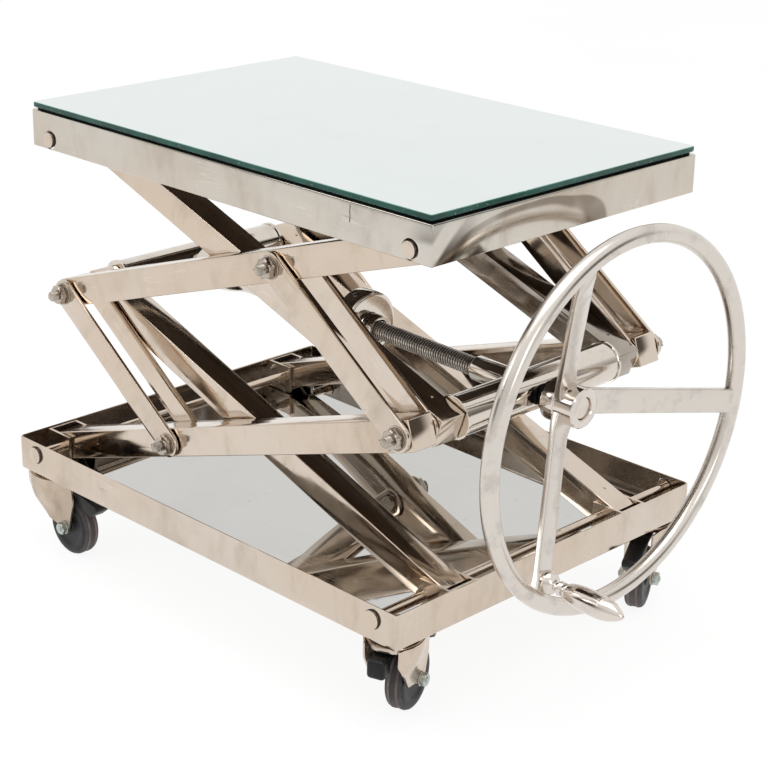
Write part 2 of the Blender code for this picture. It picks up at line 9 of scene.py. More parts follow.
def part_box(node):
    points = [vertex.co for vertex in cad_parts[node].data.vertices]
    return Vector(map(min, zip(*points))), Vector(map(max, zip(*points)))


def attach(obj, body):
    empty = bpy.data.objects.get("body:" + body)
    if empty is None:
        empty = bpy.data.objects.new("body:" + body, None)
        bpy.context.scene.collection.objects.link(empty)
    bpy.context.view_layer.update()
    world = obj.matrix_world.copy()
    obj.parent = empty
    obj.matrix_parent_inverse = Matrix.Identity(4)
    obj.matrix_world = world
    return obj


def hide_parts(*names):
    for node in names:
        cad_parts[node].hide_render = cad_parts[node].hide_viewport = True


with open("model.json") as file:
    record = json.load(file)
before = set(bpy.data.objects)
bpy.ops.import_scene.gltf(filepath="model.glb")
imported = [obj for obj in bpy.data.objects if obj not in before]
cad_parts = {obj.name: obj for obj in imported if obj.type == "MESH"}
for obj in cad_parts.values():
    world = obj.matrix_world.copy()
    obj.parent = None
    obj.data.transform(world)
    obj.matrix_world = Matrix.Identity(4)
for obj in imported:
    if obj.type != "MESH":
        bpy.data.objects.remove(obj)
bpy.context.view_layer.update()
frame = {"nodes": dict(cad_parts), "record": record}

JOINTS = {joint["name"]: joint for joint in frame["record"]["behaviour"]["joints"]}
MM = 0.001
move = Matrix.Translation


# ---------------------------------------------------------------- places
def pivot(joint):
    return Vector(JOINTS[joint]["pos_m"])


def low(node):
    return Vector(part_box(node)[0])


def high(node):
    return Vector(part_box(node)[1])


def middle(node):
    point = (low(node) + high(node)) / 2
    return Vector((point.x, 0.0, point.z))


MID_R = pivot("upper_inner_fold")
MID_L = pivot("upper_outer_fold")
TOP_L = pivot("top_level")
BASE_L = pivot("lower_outer_fold")
BASE_R = pivot("lower_inner_fold")
TOP_R = middle("top_shaft_right")
PIN_LOW = middle("link_bolt_low_near")
PIN_HIGH = middle("link_bolt_high_near")
BAR_LENGTH = (MID_R - BASE_L).length
OUTER_ANGLE = math.atan2(MID_R.z - BASE_L.z, MID_R.x - BASE_L.x)
INNER_ANGLE = math.atan2(MID_L.z - BASE_R.z, BASE_R.x - MID_L.x)
SCREW_TILT = math.atan2(MID_R.z - MID_L.z, MID_R.x - MID_L.x)
SCREW_SPAN = (MID_R - MID_L).length
SIDES = (("near", -1), ("far", 1))
ENDS = (("left", -1), ("right", 1))
HEADINGS = {}
for corner in ("near_left", "near_right", "far_left", "far_right"):
    axis = Vector(JOINTS["roll_" + corner]["axis"])
    HEADINGS[corner] = math.atan2(-axis.x, axis.y)


def turn_by(degrees, axis):
    return Matrix.Rotation(math.radians(degrees), 4, axis)


TO_Y = turn_by(-90, "X")


def across(point, side):
    """Frame whose local Z points outward along Y."""
    matrix = move(point) @ TO_Y
    return matrix if side > 0 else matrix @ turn_by(180, "X")


def leaning(point, angle):
    """Frame whose local X rises from the horizontal by this angle, in radians."""
    return move(point) @ Matrix.Rotation(-angle, 4, "Y")


def along_screw():
    """Frame whose local Z runs down the screw to the handwheel."""
    return leaning(MID_R, SCREW_TILT) @ turn_by(90, "Y")


# ---------------------------------------------------------------- shader helpers
MIX_A, MIX_B, MIX_COLOUR = 6, 7, 2  # a Mix node's two colour inputs and its colour output
PIECE_SHIFT = 37.0


class Tree:
    """Shorthands for the nodes of one tree."""

    def __init__(self, tree):
        self.tree = tree

    def new(self, kind):
        return self.tree.nodes.new("ShaderNode" + kind)

    def link(self, value, socket):
        if isinstance(value, bpy.types.NodeSocket):
            self.tree.links.new(value, socket)
        elif isinstance(value, tuple) and len(value) == 3 and socket.type == "RGBA":
            socket.default_value = (*value, 1.0)
        else:
            socket.default_value = value

    def split(self, vector):
        node = self.new("SeparateXYZ")
        self.link(vector, node.inputs[0])
        return node.outputs

    def math(self, operation, a, b=0.0):
        node = self.new("Math")
        node.operation = operation
        self.link(a, node.inputs[0])
        self.link(b, node.inputs[1])
        return node.outputs[0]

    def times(self, a, b):
        return self.math("MULTIPLY", a, b)

    def plus(self, a, b):
        return self.math("ADD", a, b)

    def ramp(self, value, start, stop, out_low=0.0, out_high=1.0):
        node = self.new("MapRange")
        node.interpolation_type = "SMOOTHSTEP"
        self.link(value, node.inputs["Value"])
        for key, number in (("From Min", start), ("From Max", stop), ("To Min", out_low), ("To Max", out_high)):
            node.inputs[key].default_value = number
        return node.outputs["Result"]

    def mix(self, factor, a, b):
        node = self.new("Mix")
        node.data_type = "RGBA"
        self.link(factor, node.inputs["Factor"])
        self.link(a, node.inputs[MIX_A])
        self.link(b, node.inputs[MIX_B])
        return node.outputs[MIX_COLOUR]


class Graph(Tree):
    """A new material on object coordinates."""

    def __init__(self, name):
        self.mat = bpy.data.materials.new(name)
        self.mat.use_nodes = True
        super().__init__(self.mat.node_tree)
        self.shader = self.tree.nodes["Principled BSDF"]
        self.coords = self.new("TexCoord").outputs["Object"]
        self.own_number = self.new("ObjectInfo").outputs["Random"]

    def mapped(self, scale):
        """Scaled coordinates, shifted so that no two pieces show the same patch."""
        node = self.new("Mapping")
        self.link(self.coords, node.inputs["Vector"])
        node.inputs["Scale"].default_value = scale
        shift = self.new("CombineXYZ")
        spread = self.times(self.own_number, PIECE_SHIFT)
        for axis_name in "XYZ":
            self.link(spread, shift.inputs[axis_name])
        self.link(shift.outputs[0], node.inputs["Location"])
        return node.outputs[0]

    def noise(self, scale, detail=4.0, rough=0.55, stretch=(1, 1, 1)):
        node = self.new("TexNoise")
        self.link(self.mapped(stretch), node.inputs["Vector"])
        for key, number in (("Scale", scale), ("Detail", detail), ("Roughness", rough)):
            node.inputs[key].default_value = number
        return node.outputs["Fac"]

    def bump(self, height, strength, distance, below=None):
        node = self.new("Bump")
        node.inputs["Strength"].default_value = strength
        node.inputs["Distance"].default_value = distance
        self.link(height, node.inputs["Height"])
        if below is not None:
            self.link(below, node.inputs["Normal"])
        return node.outputs["Normal"]

    def set(self, **values):
        for key, value in values.items():
            self.link(value, self.shader.inputs[key.replace("_", " ")])
        return self.mat

    def scratches(self, angle, density, width):
        """Fine straight lines in patches: where a noise stretched along one direction crosses its mean."""
        node = self.new("Mapping")
        self.link(self.mapped((1, 1, 1)), node.inputs["Vector"])
        node.inputs["Rotation"].default_value = (0.0, math.radians(angle), math.radians(angle))
        node.inputs["Scale"].default_value = (3.0, density, density)
        noise = self.new("TexNoise")
        self.link(node.outputs[0], noise.inputs["Vector"])
        noise.inputs["Scale"].default_value = 1.0
        noise.inputs["Detail"].default_value = 1.0
        ridge = self.math("ABSOLUTE", self.math("SUBTRACT", noise.outputs["Fac"], 0.5))
        thin = self.ramp(ridge, 0.0, width, 1.0, 0.0)
        return self.times(thin, self.ramp(self.noise(11.0, 2.0), 0.56, 0.66))


def painted_end_reflection(g, base, half_y, half_z):
    """Painted reflection: a brown arch and curls beside the near corner of the frame's +X end."""
    x, y, z = g.split(g.coords)
    sway = g.times(g.math("SUBTRACT", g.noise(9.0, 1.0), 0.5), 0.12)
    u = g.plus(g.math("DIVIDE", g.plus(y, half_y), 2 * half_y), g.times(sway, 0.5))
    v = g.plus(g.math("DIVIDE", g.plus(z, half_z), 2 * half_z), sway)

    def arch(centre, reach, rise):
        across_it = g.math("POWER", g.math("ABSOLUTE", g.math("DIVIDE", g.math("SUBTRACT", u, centre), reach)), 2.3)
        up_it = g.math("POWER", g.math("ABSOLUTE", g.math("DIVIDE", v, rise)), 2.3)
        return g.plus(across_it, up_it)

    inside = g.ramp(arch(0.350, 0.290, 0.93), 0.90, 1.03, 1.0, 0.0)
    hollow = g.ramp(arch(0.325, 0.215, 0.74), 0.88, 1.22, 0.0, 1.0)
    fade = g.ramp(g.noise(14.0, 1.0), 0.30, 0.60, 0.45, 1.0)
    band = g.times(g.times(inside, hollow), fade)
    corner = g.ramp(u, 0.10, 0.19, 1.0, 0.0)
    curl = g.ramp(g.math("SINE", g.plus(g.times(u, 46.0), g.times(v, -5.5))), -0.5, 0.5)
    curl = g.times(g.times(curl, corner), g.ramp(v, 0.15, 1.0, 1.0, 0.25))
    end_face = g.ramp(x, 0.40, 0.45)
    base = g.mix(g.times(g.times(band, end_face), 0.80), base, (0.20, 0.158, 0.120))
    return g.mix(g.times(g.times(curl, end_face), 0.95), base, (0.075, 0.058, 0.044))


def nickel(name, colour, stain, rough, wave, stains=0.5, pits=0.5, lines=0.4, painted_reflection=None):
    """Old polished nickel: cloudy stains, vertical streaks that are partly stains and partly painted reflections, pits,
    fine scratches and a slightly wavy surface; optionally a painted reflection at the frame's end.
    """
    g = Graph(name)
    cloud = g.ramp(g.noise(7.0, 5.0, 0.6), 0.46, 0.74)
    # vertical brownish streaks: partly stains, partly painted reflections
    streak_reflection = g.ramp(g.noise(26.0, 4.0, 0.6, (1, 1, 0.4)), 0.50, 0.80)
    speck = g.ramp(g.noise(230.0, 3.0, 0.6), 0.66, 0.76)
    patch = g.ramp(g.noise(15.0, 2.0), 0.50, 0.70)
    dark = g.times(g.plus(cloud, streak_reflection), 0.5 * stains)
    spots = g.times(g.times(speck, patch), pits)
    marks = g.times(g.plus(g.scratches(24.0, 95.0, 0.012), g.scratches(-63.0, 80.0, 0.010)), lines)
    gouge = g.times(g.scratches(48.0, 60.0, 0.012), g.ramp(g.noise(5.0, 1.0), 0.55, 0.65))
    tint = g.ramp(g.noise(2.6, 2.0), 0.35, 0.65)
    warm = tuple(value * shift for value, shift in zip(colour, (0.97, 0.92, 0.87)))
    base = g.mix(tint, colour, warm)
    base = g.mix(dark, base, stain)
    base = g.mix(g.times(gouge, 0.7), base, (0.20, 0.15, 0.11))
    base = g.mix(spots, base, (0.16, 0.10, 0.06))
    base = g.mix(marks, base, (0.86, 0.83, 0.80))
    # painted reflection: brown arch and curls on the frame's +X end
    if painted_reflection:
        base = painted_end_reflection(g, base, *painted_reflection)
    grain = g.noise(420.0, 2.0)
    roughness = g.plus(g.times(dark, 0.30), rough)
    roughness = g.plus(roughness, g.times(marks, 0.25))
    roughness = g.plus(roughness, g.times(grain, 0.04))
    normal = g.bump(g.noise(5.0, 1.0), wave, 0.004)
    normal = g.bump(g.noise(24.0, 2.0), wave * 0.5, 0.0008, normal)
    normal = g.bump(marks, 0.15, 0.0002, normal)
    normal = g.bump(spots, -0.3, 0.0002, normal)
    return g.set(Base_Color=base, Roughness=roughness, Metallic=1.0, Normal=normal)


def turned_metal(name, colour, rough, rings, stain=0.25):
    """Lathe-turned metal: fine rings around local Z, and faint stains."""
    g = Graph(name)
    ring = g.noise(rings, 2.0, 0.6, (0.02, 0.02, 1))
    cloud = g.ramp(g.noise(30.0, 4.0), 0.5, 0.75)
    dark = tuple(value * 0.55 for value in colour)
    base = g.mix(g.times(cloud, stain), colour, dark)
    roughness = g.plus(g.times(ring, 0.08), rough)
    roughness = g.plus(roughness, g.times(cloud, 0.12))
    normal = g.bump(ring, 0.06, 0.0003)
    return g.set(Base_Color=base, Roughness=roughness, Metallic=1.0, Normal=normal)


def thread_steel(name, crest, root):
    """Oiled thread: worn bright along the crests, black grease down in the roots."""
    g = Graph(name)
    x, y, _ = g.split(g.coords)
    reach = g.math("SQRT", g.plus(g.math("POWER", x, 2.0), g.math("POWER", y, 2.0)))
    worn = g.ramp(reach, root, crest)
    smear = g.ramp(g.noise(60.0, 3.0), 0.40, 0.70)
    worn = g.times(worn, g.ramp(smear, 0.0, 1.0, 1.0, 0.72))
    base = g.mix(worn, (0.020, 0.016, 0.013), (0.66, 0.61, 0.55))
    rough = g.plus(g.times(smear, 0.15), 0.24)
    return g.set(Base_Color=base, Roughness=rough, Metallic=g.ramp(worn, 0.0, 0.6, 0.3, 1.0))


def mirror_floor(name):
    g = Graph(name)
    haze = g.ramp(g.noise(4.0, 4.0, 0.6), 0.45, 0.75)
    blot = g.ramp(g.noise(60.0, 4.0, 0.65), 0.62, 0.75)
    line = g.scratches(33.0, 50.0, 0.010)
    base = g.mix(g.times(haze, 0.25), (0.575, 0.568, 0.546), (0.46, 0.445, 0.41))
    base = g.mix(g.times(blot, 0.35), base, (0.40, 0.35, 0.28))
    rough = g.plus(g.times(haze, 0.03), 0.012)
    rough = g.plus(rough, g.times(line, 0.2))
    normal = g.bump(g.noise(3.2, 1.0), 0.09, 0.004)
    normal = g.bump(line, 0.1, 0.0001, normal)
    return g.set(Base_Color=base, Roughness=rough, Metallic=1.0, Normal=normal)


def glass_face(name):
    g = Graph(name)
    haze = g.ramp(g.noise(9.0, 5.0, 0.65), 0.45, 0.75)
    fleck = g.ramp(g.noise(120.0, 3.0, 0.6), 0.62, 0.72)
    base = g.mix(g.times(haze, 0.25), (0.730, 0.785, 0.770), (0.67, 0.72, 0.70))
    base = g.mix(g.times(fleck, 0.12), base, (0.45, 0.46, 0.44))
    rough = g.plus(g.times(haze, 0.08), 0.03)
    normal = g.bump(g.noise(2.2, 0.0), 0.03, 0.004)
    return g.set(Base_Color=base, Roughness=rough, Metallic=0.96, Normal=normal)


def glass_edge(name, deep, pale):
    g = Graph(name)
    drift = g.ramp(g.noise(14.0, 3.0), 0.35, 0.7)
    chip = g.ramp(g.noise(160.0, 3.0), 0.64, 0.74)
    base = g.mix(drift, deep, pale)
    base = g.mix(g.times(chip, 0.5), base, (0.45, 0.62, 0.56))
    rough = g.plus(g.times(chip, 0.3), 0.08)
    return g.set(Base_Color=base, Roughness=rough, Specular_IOR_Level=0.35)


def dull(name, colour, other, rough, scale, bump=0.2, shine=0.3):
    """Rubber, plastic or board: mottled colour, dust and a fine grain."""
    g = Graph(name)
    blend = g.ramp(g.noise(scale, 5.0, 0.6), 0.38, 0.70)
    dust = g.ramp(g.noise(scale * 5, 4.0, 0.7), 0.58, 0.80)
    base = g.mix(blend, colour, other)
    pale = tuple(min(1.0, value * 1.8 + 0.04) for value in other)
    base = g.mix(g.times(dust, 0.45), base, pale)
    roughness = g.plus(g.times(dust, 0.2), rough)
    normal = g.bump(g.noise(scale * 22, 3.0), bump, 0.0004)
    return g.set(Base_Color=base, Roughness=roughness, Normal=normal, Specular_IOR_Level=shine)


# stain colour, also used for the painted reflection streaks
STAIN_AND_REFLECTION = (0.38, 0.295, 0.215)
NICKEL_BASE = nickel("nickel_tray", (0.645, 0.572, 0.495), STAIN_AND_REFLECTION, 0.085, 0.26, 0.70, 0.9, 0.35)
# the top frame's nickel carries the painted reflection at its +X end
NICKEL_TOP = nickel("nickel_top_frame", (0.615, 0.578, 0.522), STAIN_AND_REFLECTION, 0.085, 0.20, 0.60, 0.7, 0.35, (0.295, 0.030))
# darker copy of the tray nickel: painted shade on the tray's inner walls
NICKEL_INNER_PAINTED_SHADE = nickel("nickel_tray_inside_painted_shade", (0.36, 0.322, 0.285), (0.17, 0.138, 0.110), 0.10, 0.24, 0.9, 0.9, 0.3)
NICKEL_BAR = nickel("nickel_bar", (0.655, 0.570, 0.485), STAIN_AND_REFLECTION, 0.075, 0.10, 0.65, 0.9, 0.35)
# darker copy of the bar nickel: painted shade for the far upper bars
NICKEL_PAINTED_SHADE = nickel("nickel_bar_far_painted_shade", (0.40, 0.355, 0.310), (0.22, 0.182, 0.145), 0.10, 0.14, 0.8, 0.9, 0.3)
NICKEL_DULL = nickel("nickel_caster", (0.62, 0.53, 0.445), (0.32, 0.24, 0.17), 0.20, 0.20, 0.85, 0.9, 0.35)
# dark metal for the shaft heads' sides: painted shade
PAINTED_SHADE_HEAD_SIDE = turned_metal("painted_shade_head_side", (0.11, 0.085, 0.065), 0.25, 300.0, 0.5)
NICKEL_TURNED = turned_metal("nickel_turned", (0.68, 0.62, 0.55), 0.06, 260.0)
CHROME = turned_metal("chrome_handwheel", (0.70, 0.64, 0.585), 0.07, 120.0, 0.25)
BRUSHED = turned_metal("brushed_rim", (0.67, 0.620, 0.565), 0.19, 90.0, 0.40)
HARDWARE = turned_metal("nickel_hardware", (0.47, 0.415, 0.355), 0.18, 400.0, 0.85)
# dark old steel for the split pins, and painted shade on the second washer
OLD_STEEL_AND_GAP_SHADE = turned_metal("old_steel_and_washer_gap_shade", (0.25, 0.205, 0.165), 0.24, 400.0, 0.6)
ZINC = turned_metal("zinc_plate", (0.50, 0.53, 0.50), 0.30, 300.0, 0.5)
SCREW_STEEL = thread_steel("oiled_thread", 0.0149, 0.0134)
MIRROR = mirror_floor("tray_floor_mirror")
GLASS_TOP = glass_face("mirrored_glass_face")
GLASS_SIDE = glass_edge("glass_edge_green", (0.003, 0.040, 0.029), (0.008, 0.075, 0.055))
# pale green for the glass's bevels: painted highlight
GLASS_BEVEL_HIGHLIGHT = glass_edge("glass_bevel_painted_highlight", (0.045, 0.17, 0.13), (0.14, 0.30, 0.25))
# black rubber for the glass pad and thrust ring, and painted shade on the link bolts' spacers
BLACK = dull("black_rubber_and_gap_shade", (0.006, 0.006, 0.007), (0.014, 0.014, 0.015), 0.55, 30.0, 0.2, 0.08)
BOARD = dull("brown_board", (0.040, 0.024, 0.014), (0.075, 0.048, 0.030), 0.60, 9.0)
LEVER = dull("black_moulded_lever", (0.004, 0.004, 0.0045), (0.009, 0.009, 0.009), 0.40, 24.0)
TYRE = dull("grey_tyre", (0.045, 0.040, 0.040), (0.085, 0.076, 0.074), 0.60, 26.0, 0.3, 0.25)
TYRE_RIB = dull("brown_tyre_rib", (0.13, 0.10, 0.092), (0.20, 0.155, 0.145), 0.66, 40.0, 0.3, 0.25)
HUB_BLACK = dull("black_wheel_side", (0.010, 0.010, 0.011), (0.024, 0.022, 0.023), 0.46, 30.0)
# dark colour for the weld seam, and painted shade in the gaps round the shafts
GREASE_AND_GAP_SHADE = dull("dark_grease_and_gap_shade", (0.010, 0.008, 0.006), (0.030, 0.022, 0.016), 0.35, 60.0)


# ---------------------------------------------------------------- mesh helpers
QUADRANTS = ((-1, -1, 180), (1, -1, 270), (1, 1, 0), (-1, 1, 90))


def mm(*pairs, at=0.0):
    """Pairs given in millimetres, the first of each counted from a place given in metres."""
    return [(at + a * MM, b * MM) for a, b in pairs]


def mirrored(profile):
    """A profile of the negative half, followed by its mirror image."""
    return profile + [(-z, radius) for z, radius in profile[::-1]]


def add_object(name, data):
    obj = bpy.data.objects.new(name, data)
    bpy.context.scene.collection.objects.link(obj)
    return obj


def piece(name, bm, mats, body, spot=Matrix(), stands_for=None, sharp=32.0):
    """A finished piece from a bmesh, riding on a body; edges above the sharp angle are shaded hard."""
    bmesh.ops.remove_doubles(bm, verts=bm.verts, dist=1e-7)
    bmesh.ops.recalc_face_normals(bm, faces=bm.faces)
    mesh = bpy.data.meshes.new(name)
    bm.to_mesh(mesh)
    bm.free()
    mesh.shade_smooth()
    mesh.set_sharp_from_angle(angle=math.radians(sharp))
    for mat in mats if isinstance(mats, list) else [mats]:
        mesh.materials.append(mat)
    obj = add_object(name, mesh)
    obj.matrix_world = spot
    bpy.context.view_layer.update()
    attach(obj, body)
    if stands_for:
        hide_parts(stands_for)


def loft(bm, rings, closed=False):
    """Faces between neighbouring rings, where a ring may be one point; open ends are filled."""
    for a, b in zip(rings, rings[1:] + rings[:1] if closed else rings[1:]):
        count = max(len(a), len(b))
        for i in range(count if count > 1 else 0):
            j = (i + 1) % count
            corners = (a[i % len(a)], a[j % len(a)], b[j % len(b)], b[i % len(b)])
            bm.faces.new(tuple(dict.fromkeys(corners)))
    for end in () if closed else (rings[0][::-1], rings[-1]):
        if len(end) > 1:
            bm.faces.new(end)
    return bm


def lathe(profile, steps=48, flat=None):
    """Solid around Z from (z, radius) pairs; flat cuts it to a hexagon of that half width."""
    bm = bmesh.new()
    rings = []
    for z, radius in profile:
        ring = []
        for step in range(steps if radius > 0 else 1):
            turn = 2 * math.pi * step / steps
            reach = min(radius, flat / math.cos(turn % (math.pi / 3) - math.pi / 6)) if flat else radius
            ring.append(bm.verts.new((reach * math.cos(turn), reach * math.sin(turn), z)))
        rings.append(ring)
    return loft(bm, rings)


def ring_lathe(loop, steps=64):
    """Ring around Z from a closed loop of (z, radius) pairs."""
    bm = bmesh.new()
    rings = []
    for step in range(steps):
        turn = 2 * math.pi * step / steps
        rings.append([bm.verts.new((r * math.cos(turn), r * math.sin(turn), z)) for z, r in loop])
    return loft(bm, rings, closed=True)


def arc(centre, radius, start, stop, steps):
    turns = [math.radians(start + (stop - start) * i / steps) for i in range(steps + 1)]
    return [(centre[0] + radius * math.cos(t), centre[1] + radius * math.sin(t)) for t in turns]


def plate(points, near, far, edge=0.0, segments=2):
    """Extruded (x, z) outline between two Y values, with its rim edges rounded."""
    bm = bmesh.new()
    face = bm.faces.new([bm.verts.new((x, near, z)) for x, z in points])
    grown = bmesh.ops.extrude_face_region(bm, geom=[face])
    verts = [item for item in grown["geom"] if isinstance(item, bmesh.types.BMVert)]
    bmesh.ops.translate(bm, vec=(0, far - near, 0), verts=verts)
    bmesh.ops.recalc_face_normals(bm, faces=bm.faces)
    if edge:
        rims = [e for e in bm.edges if abs(e.verts[0].co.y - e.verts[1].co.y) < 1e-9]
        bmesh.ops.bevel(bm, geom=rims, offset=edge, segments=segments, profile=0.5, affect="EDGES")
    return bm


def drill(bm, cutter):
    """This mesh with another closed mesh cut out of it."""
    work = []
    for shape in (bm, cutter):
        bmesh.ops.recalc_face_normals(shape, faces=shape.faces)
        mesh = bpy.data.meshes.new("work")
        shape.to_mesh(mesh)
        shape.free()
        work.append(add_object("work", mesh))
    modifier = work[0].modifiers.new("cut", "BOOLEAN")
    modifier.object = work[1]
    modifier.solver = "EXACT"
    modifier.operation = "DIFFERENCE"
    result = bmesh.new()
    result.from_object(work[0], bpy.context.evaluated_depsgraph_get())
    for obj in work:
        mesh = obj.data
        bpy.data.objects.remove(obj, do_unlink=True)
        bpy.data.meshes.remove(mesh)
    return result


def shifted(bm, matrix):
    bmesh.ops.transform(bm, matrix=matrix, verts=bm.verts)
    return bm


def joined(*shapes):
    result = bmesh.new()
    for shape in shapes:
        mesh = bpy.data.meshes.new("part")
        shape.to_mesh(mesh)
        shape.free()
        result.from_mesh(mesh)
        bpy.data.meshes.remove(mesh)
    return result


def rod_shape(z0, z1, radius, steps):
    return lathe([(z0, radius), (z1, radius)], steps)


def cylinder_y(x, z, radius, near, far, steps=32):
    return shifted(rod_shape(near, far, radius, steps), move((x, 0, z)) @ TO_Y)


def tube_along(points, radius, steps=8):
    """Round wire along a list of points, closed at both ends."""
    bm = bmesh.new()
    rings = []
    for i, point in enumerate(points):
        before = points[max(i - 1, 0)]
        after = points[min(i + 1, len(points) - 1)]
        direction = (after - before).normalized()
        side = direction.orthogonal().normalized() if i == 0 else side
        side = (side - direction * side.dot(direction)).normalized()
        up = direction.cross(side)
        ring = []
        for step in range(steps):
            turn = 2 * math.pi * step / steps
            ring.append(bm.verts.new(point + (side * math.cos(turn) + up * math.sin(turn)) * radius))
        rings.append(ring)
    return loft(bm, rings)


# ---------------------------------------------------------------- pans
SHEET = 3 * MM
SHAFT_HOLE = 15.8 * MM


def pan_mesh(half_x, half_y, levels, radii):
    """Lofts (inset, z) levels of a rectangle with these four corner radii into a closed pan."""
    bm = bmesh.new()
    rings = []
    for inset, z in levels:
        ring = []
        for (sx, sy, start), radius in zip(QUADRANTS, radii):
            r = max(radius - inset, 0.4 * MM)
            centre = sx * (half_x - inset - r), sy * (half_y - inset - r)
            ring += [bm.verts.new((x, y, z)) for x, y in arc(centre, r, start, start + 90, 8)]
        rings.append(ring)
    return loft(bm, rings)


def paint(bm, index, test):
    """Gives the material at index to the faces whose normal and centre pass the test."""
    bm.normal_update()
    for face in bm.faces:
        if test(face.normal, face.calc_center_median()):
            face.material_index = index


def shaft_holes(points, wall, centre=Vector()):
    """Cutters for the shafts through both side walls."""
    holes = []
    for point in points:
        for side in (-1, 1):
            spot = Vector((point.x - centre.x, side * wall, point.z - centre.z))
            holes.append(shifted(rod_shape(-0.012, 0.012, SHAFT_HOLE, 40), across(spot, 1)))
    return joined(*holes)


def make_base():
    half_x, half_y, top = high("base_tray")
    levels = mm((6, -3), (3, -3), (1.6, -2.7), (0.6, -1.9), (0, -0.6))
    levels += [(0, top - 0.8 * MM), (0.8 * MM, top), (2.2 * MM, top), (SHEET, top - 0.8 * MM)]
    levels += mm((3, 3), (3.6, 1.2), (4.6, 0.3), (6.5, 0))
    bm = pan_mesh(half_x, half_y, levels, (8 * MM, 2 * MM, 8 * MM, 8 * MM))
    bm = drill(bm, shaft_holes((BASE_L, BASE_R), half_y))

    def inner_wall(n, c):
        inside = abs(c.x) < half_x - 2 * MM and abs(c.y) < half_y - 2 * MM
        return inside and abs(n.z) < 0.5 and c.z > 0 and n.dot(c) < 0

    # the inward-facing walls get the darker nickel as painted shade
    paint(bm, 2, inner_wall)
    paint(bm, 1, lambda n, c: n.z > 0.9 and c.z < 0.01)
    piece("base_tray_skin", bm, [NICKEL_BASE, MIRROR, NICKEL_INNER_PAINTED_SHADE], "base", stands_for="base_tray")
    for end, sx in ENDS:
        for label, side in SIDES:
            pad = lathe(mm((-7, 0), (-7, 27.2), (-6.4, 28), (-3, 28), (-2.8, 0)))
            spot = move((sx * 0.412, side * 0.301, 0))
            piece("swivel_pad_%s_%s" % (end, label), pad, NICKEL_DULL, "base", spot)


def make_top():
    lo, hi = low("top_frame"), high("top_frame")
    half, centre = (hi - lo) / 2, (hi + lo) / 2
    h = half.z
    levels = [(6.5 * MM, h - SHEET), (SHEET, h - 5.5 * MM), (SHEET, 0.8 * MM - h), (2.2 * MM, -h), (0.8 * MM, -h),
              (0, 0.8 * MM - h), (0, h - 2.2 * MM), (0.6 * MM, h - 0.9 * MM), (1.8 * MM, h - 0.2 * MM),
              (3.2 * MM, h), (6 * MM, h)]
    bm = pan_mesh(half.x, half.y, levels, (9 * MM, 2.4 * MM, 9 * MM, 9 * MM))
    bm = drill(bm, shaft_holes((TOP_L, TOP_R), hi.y, centre))
    piece("top_frame_skin", bm, NICKEL_TOP, "top", move(centre), "top_frame")
    inset = 5 * MM
    board = pan_mesh(half.x - inset, half.y - inset, mm((1, -3), (0, -2), (0, 2), (1, 3)), (6 * MM,) * 4)
    piece("under_board", board, BOARD, "top", move((centre.x, centre.y, hi.z - SHEET - 3.3 * MM)))
    # weld bead where the frame's sheet is joined on the near side
    bead = [Vector((0.300 + 0.3 * MM * math.sin(i), lo.y - 0.1 * MM, lo.z + 0.056 - 2.2 * MM * i)) for i in range(13)]
    piece("frame_weld_seam", tube_along(bead, 0.55 * MM), GREASE_AND_GAP_SHADE, "top")


def make_glass():
    """The pad and the glass on it; the line between them is lower than in the CAD."""
    half, centre = (high("glass_pad") - low("glass_pad")) / 2, (high("glass_pad") + low("glass_pad")) / 2
    levels = [(0.5 * MM, -half.z), (0, 0.5 * MM - half.z), (0, half.z - 3.0 * MM), (0.5 * MM, half.z - 2.5 * MM)]
    bm = pan_mesh(half.x, half.y, levels, (6 * MM,) * 4)
    piece("glass_pad_skin", bm, BLACK, "top", move(centre), "glass_pad")
    half, centre = (high("mirror_glass") - low("mirror_glass")) / 2, (high("mirror_glass") + low("mirror_glass")) / 2
    levels = [(0.8 * MM, -half.z - 2.4 * MM), (0, -half.z - 1.6 * MM), (0, half.z - 0.9 * MM), (0.9 * MM, half.z)]
    bm = pan_mesh(half.x, half.y, levels, (5 * MM,) * 4)
    paint(bm, 1, lambda n, c: abs(n.z) < 0.2)
    # the bevel faces get the pale green as painted highlight
    paint(bm, 2, lambda n, c: 0.2 <= abs(n.z) < 0.97)
    piece("mirror_glass_skin", bm, [GLASS_TOP, GLASS_SIDE, GLASS_BEVEL_HIGHLIGHT], "top", move(centre), "mirror_glass", 20.0)


# ---------------------------------------------------------------- bars and links
BAR_HALF = 24 * MM
BAR_OVER = 21 * MM  # reach past the end pivots
SHAFT_R, PIN_R = 8 * MM, 9 * MM
SLEEVE_R = 9.4 * MM


def bar_points(rounded):
    """Side outline of a bar, with a large radius on the upper corner at its start when rounded."""
    half, start, stop, small = BAR_HALF, -BAR_OVER, BAR_LENGTH + BAR_OVER, 1.8 * MM
    points = arc((start + small, small - half), small, 180, 270, 3)
    points += arc((stop - small, small - half), small, 270, 360, 3)
    points += arc((stop - small, half - small), small, 0, 90, 3)
    r, steps = (14 * MM, 8) if rounded else (small, 3)
    return points + arc((start + r, half - r), r, 90, 180, steps)


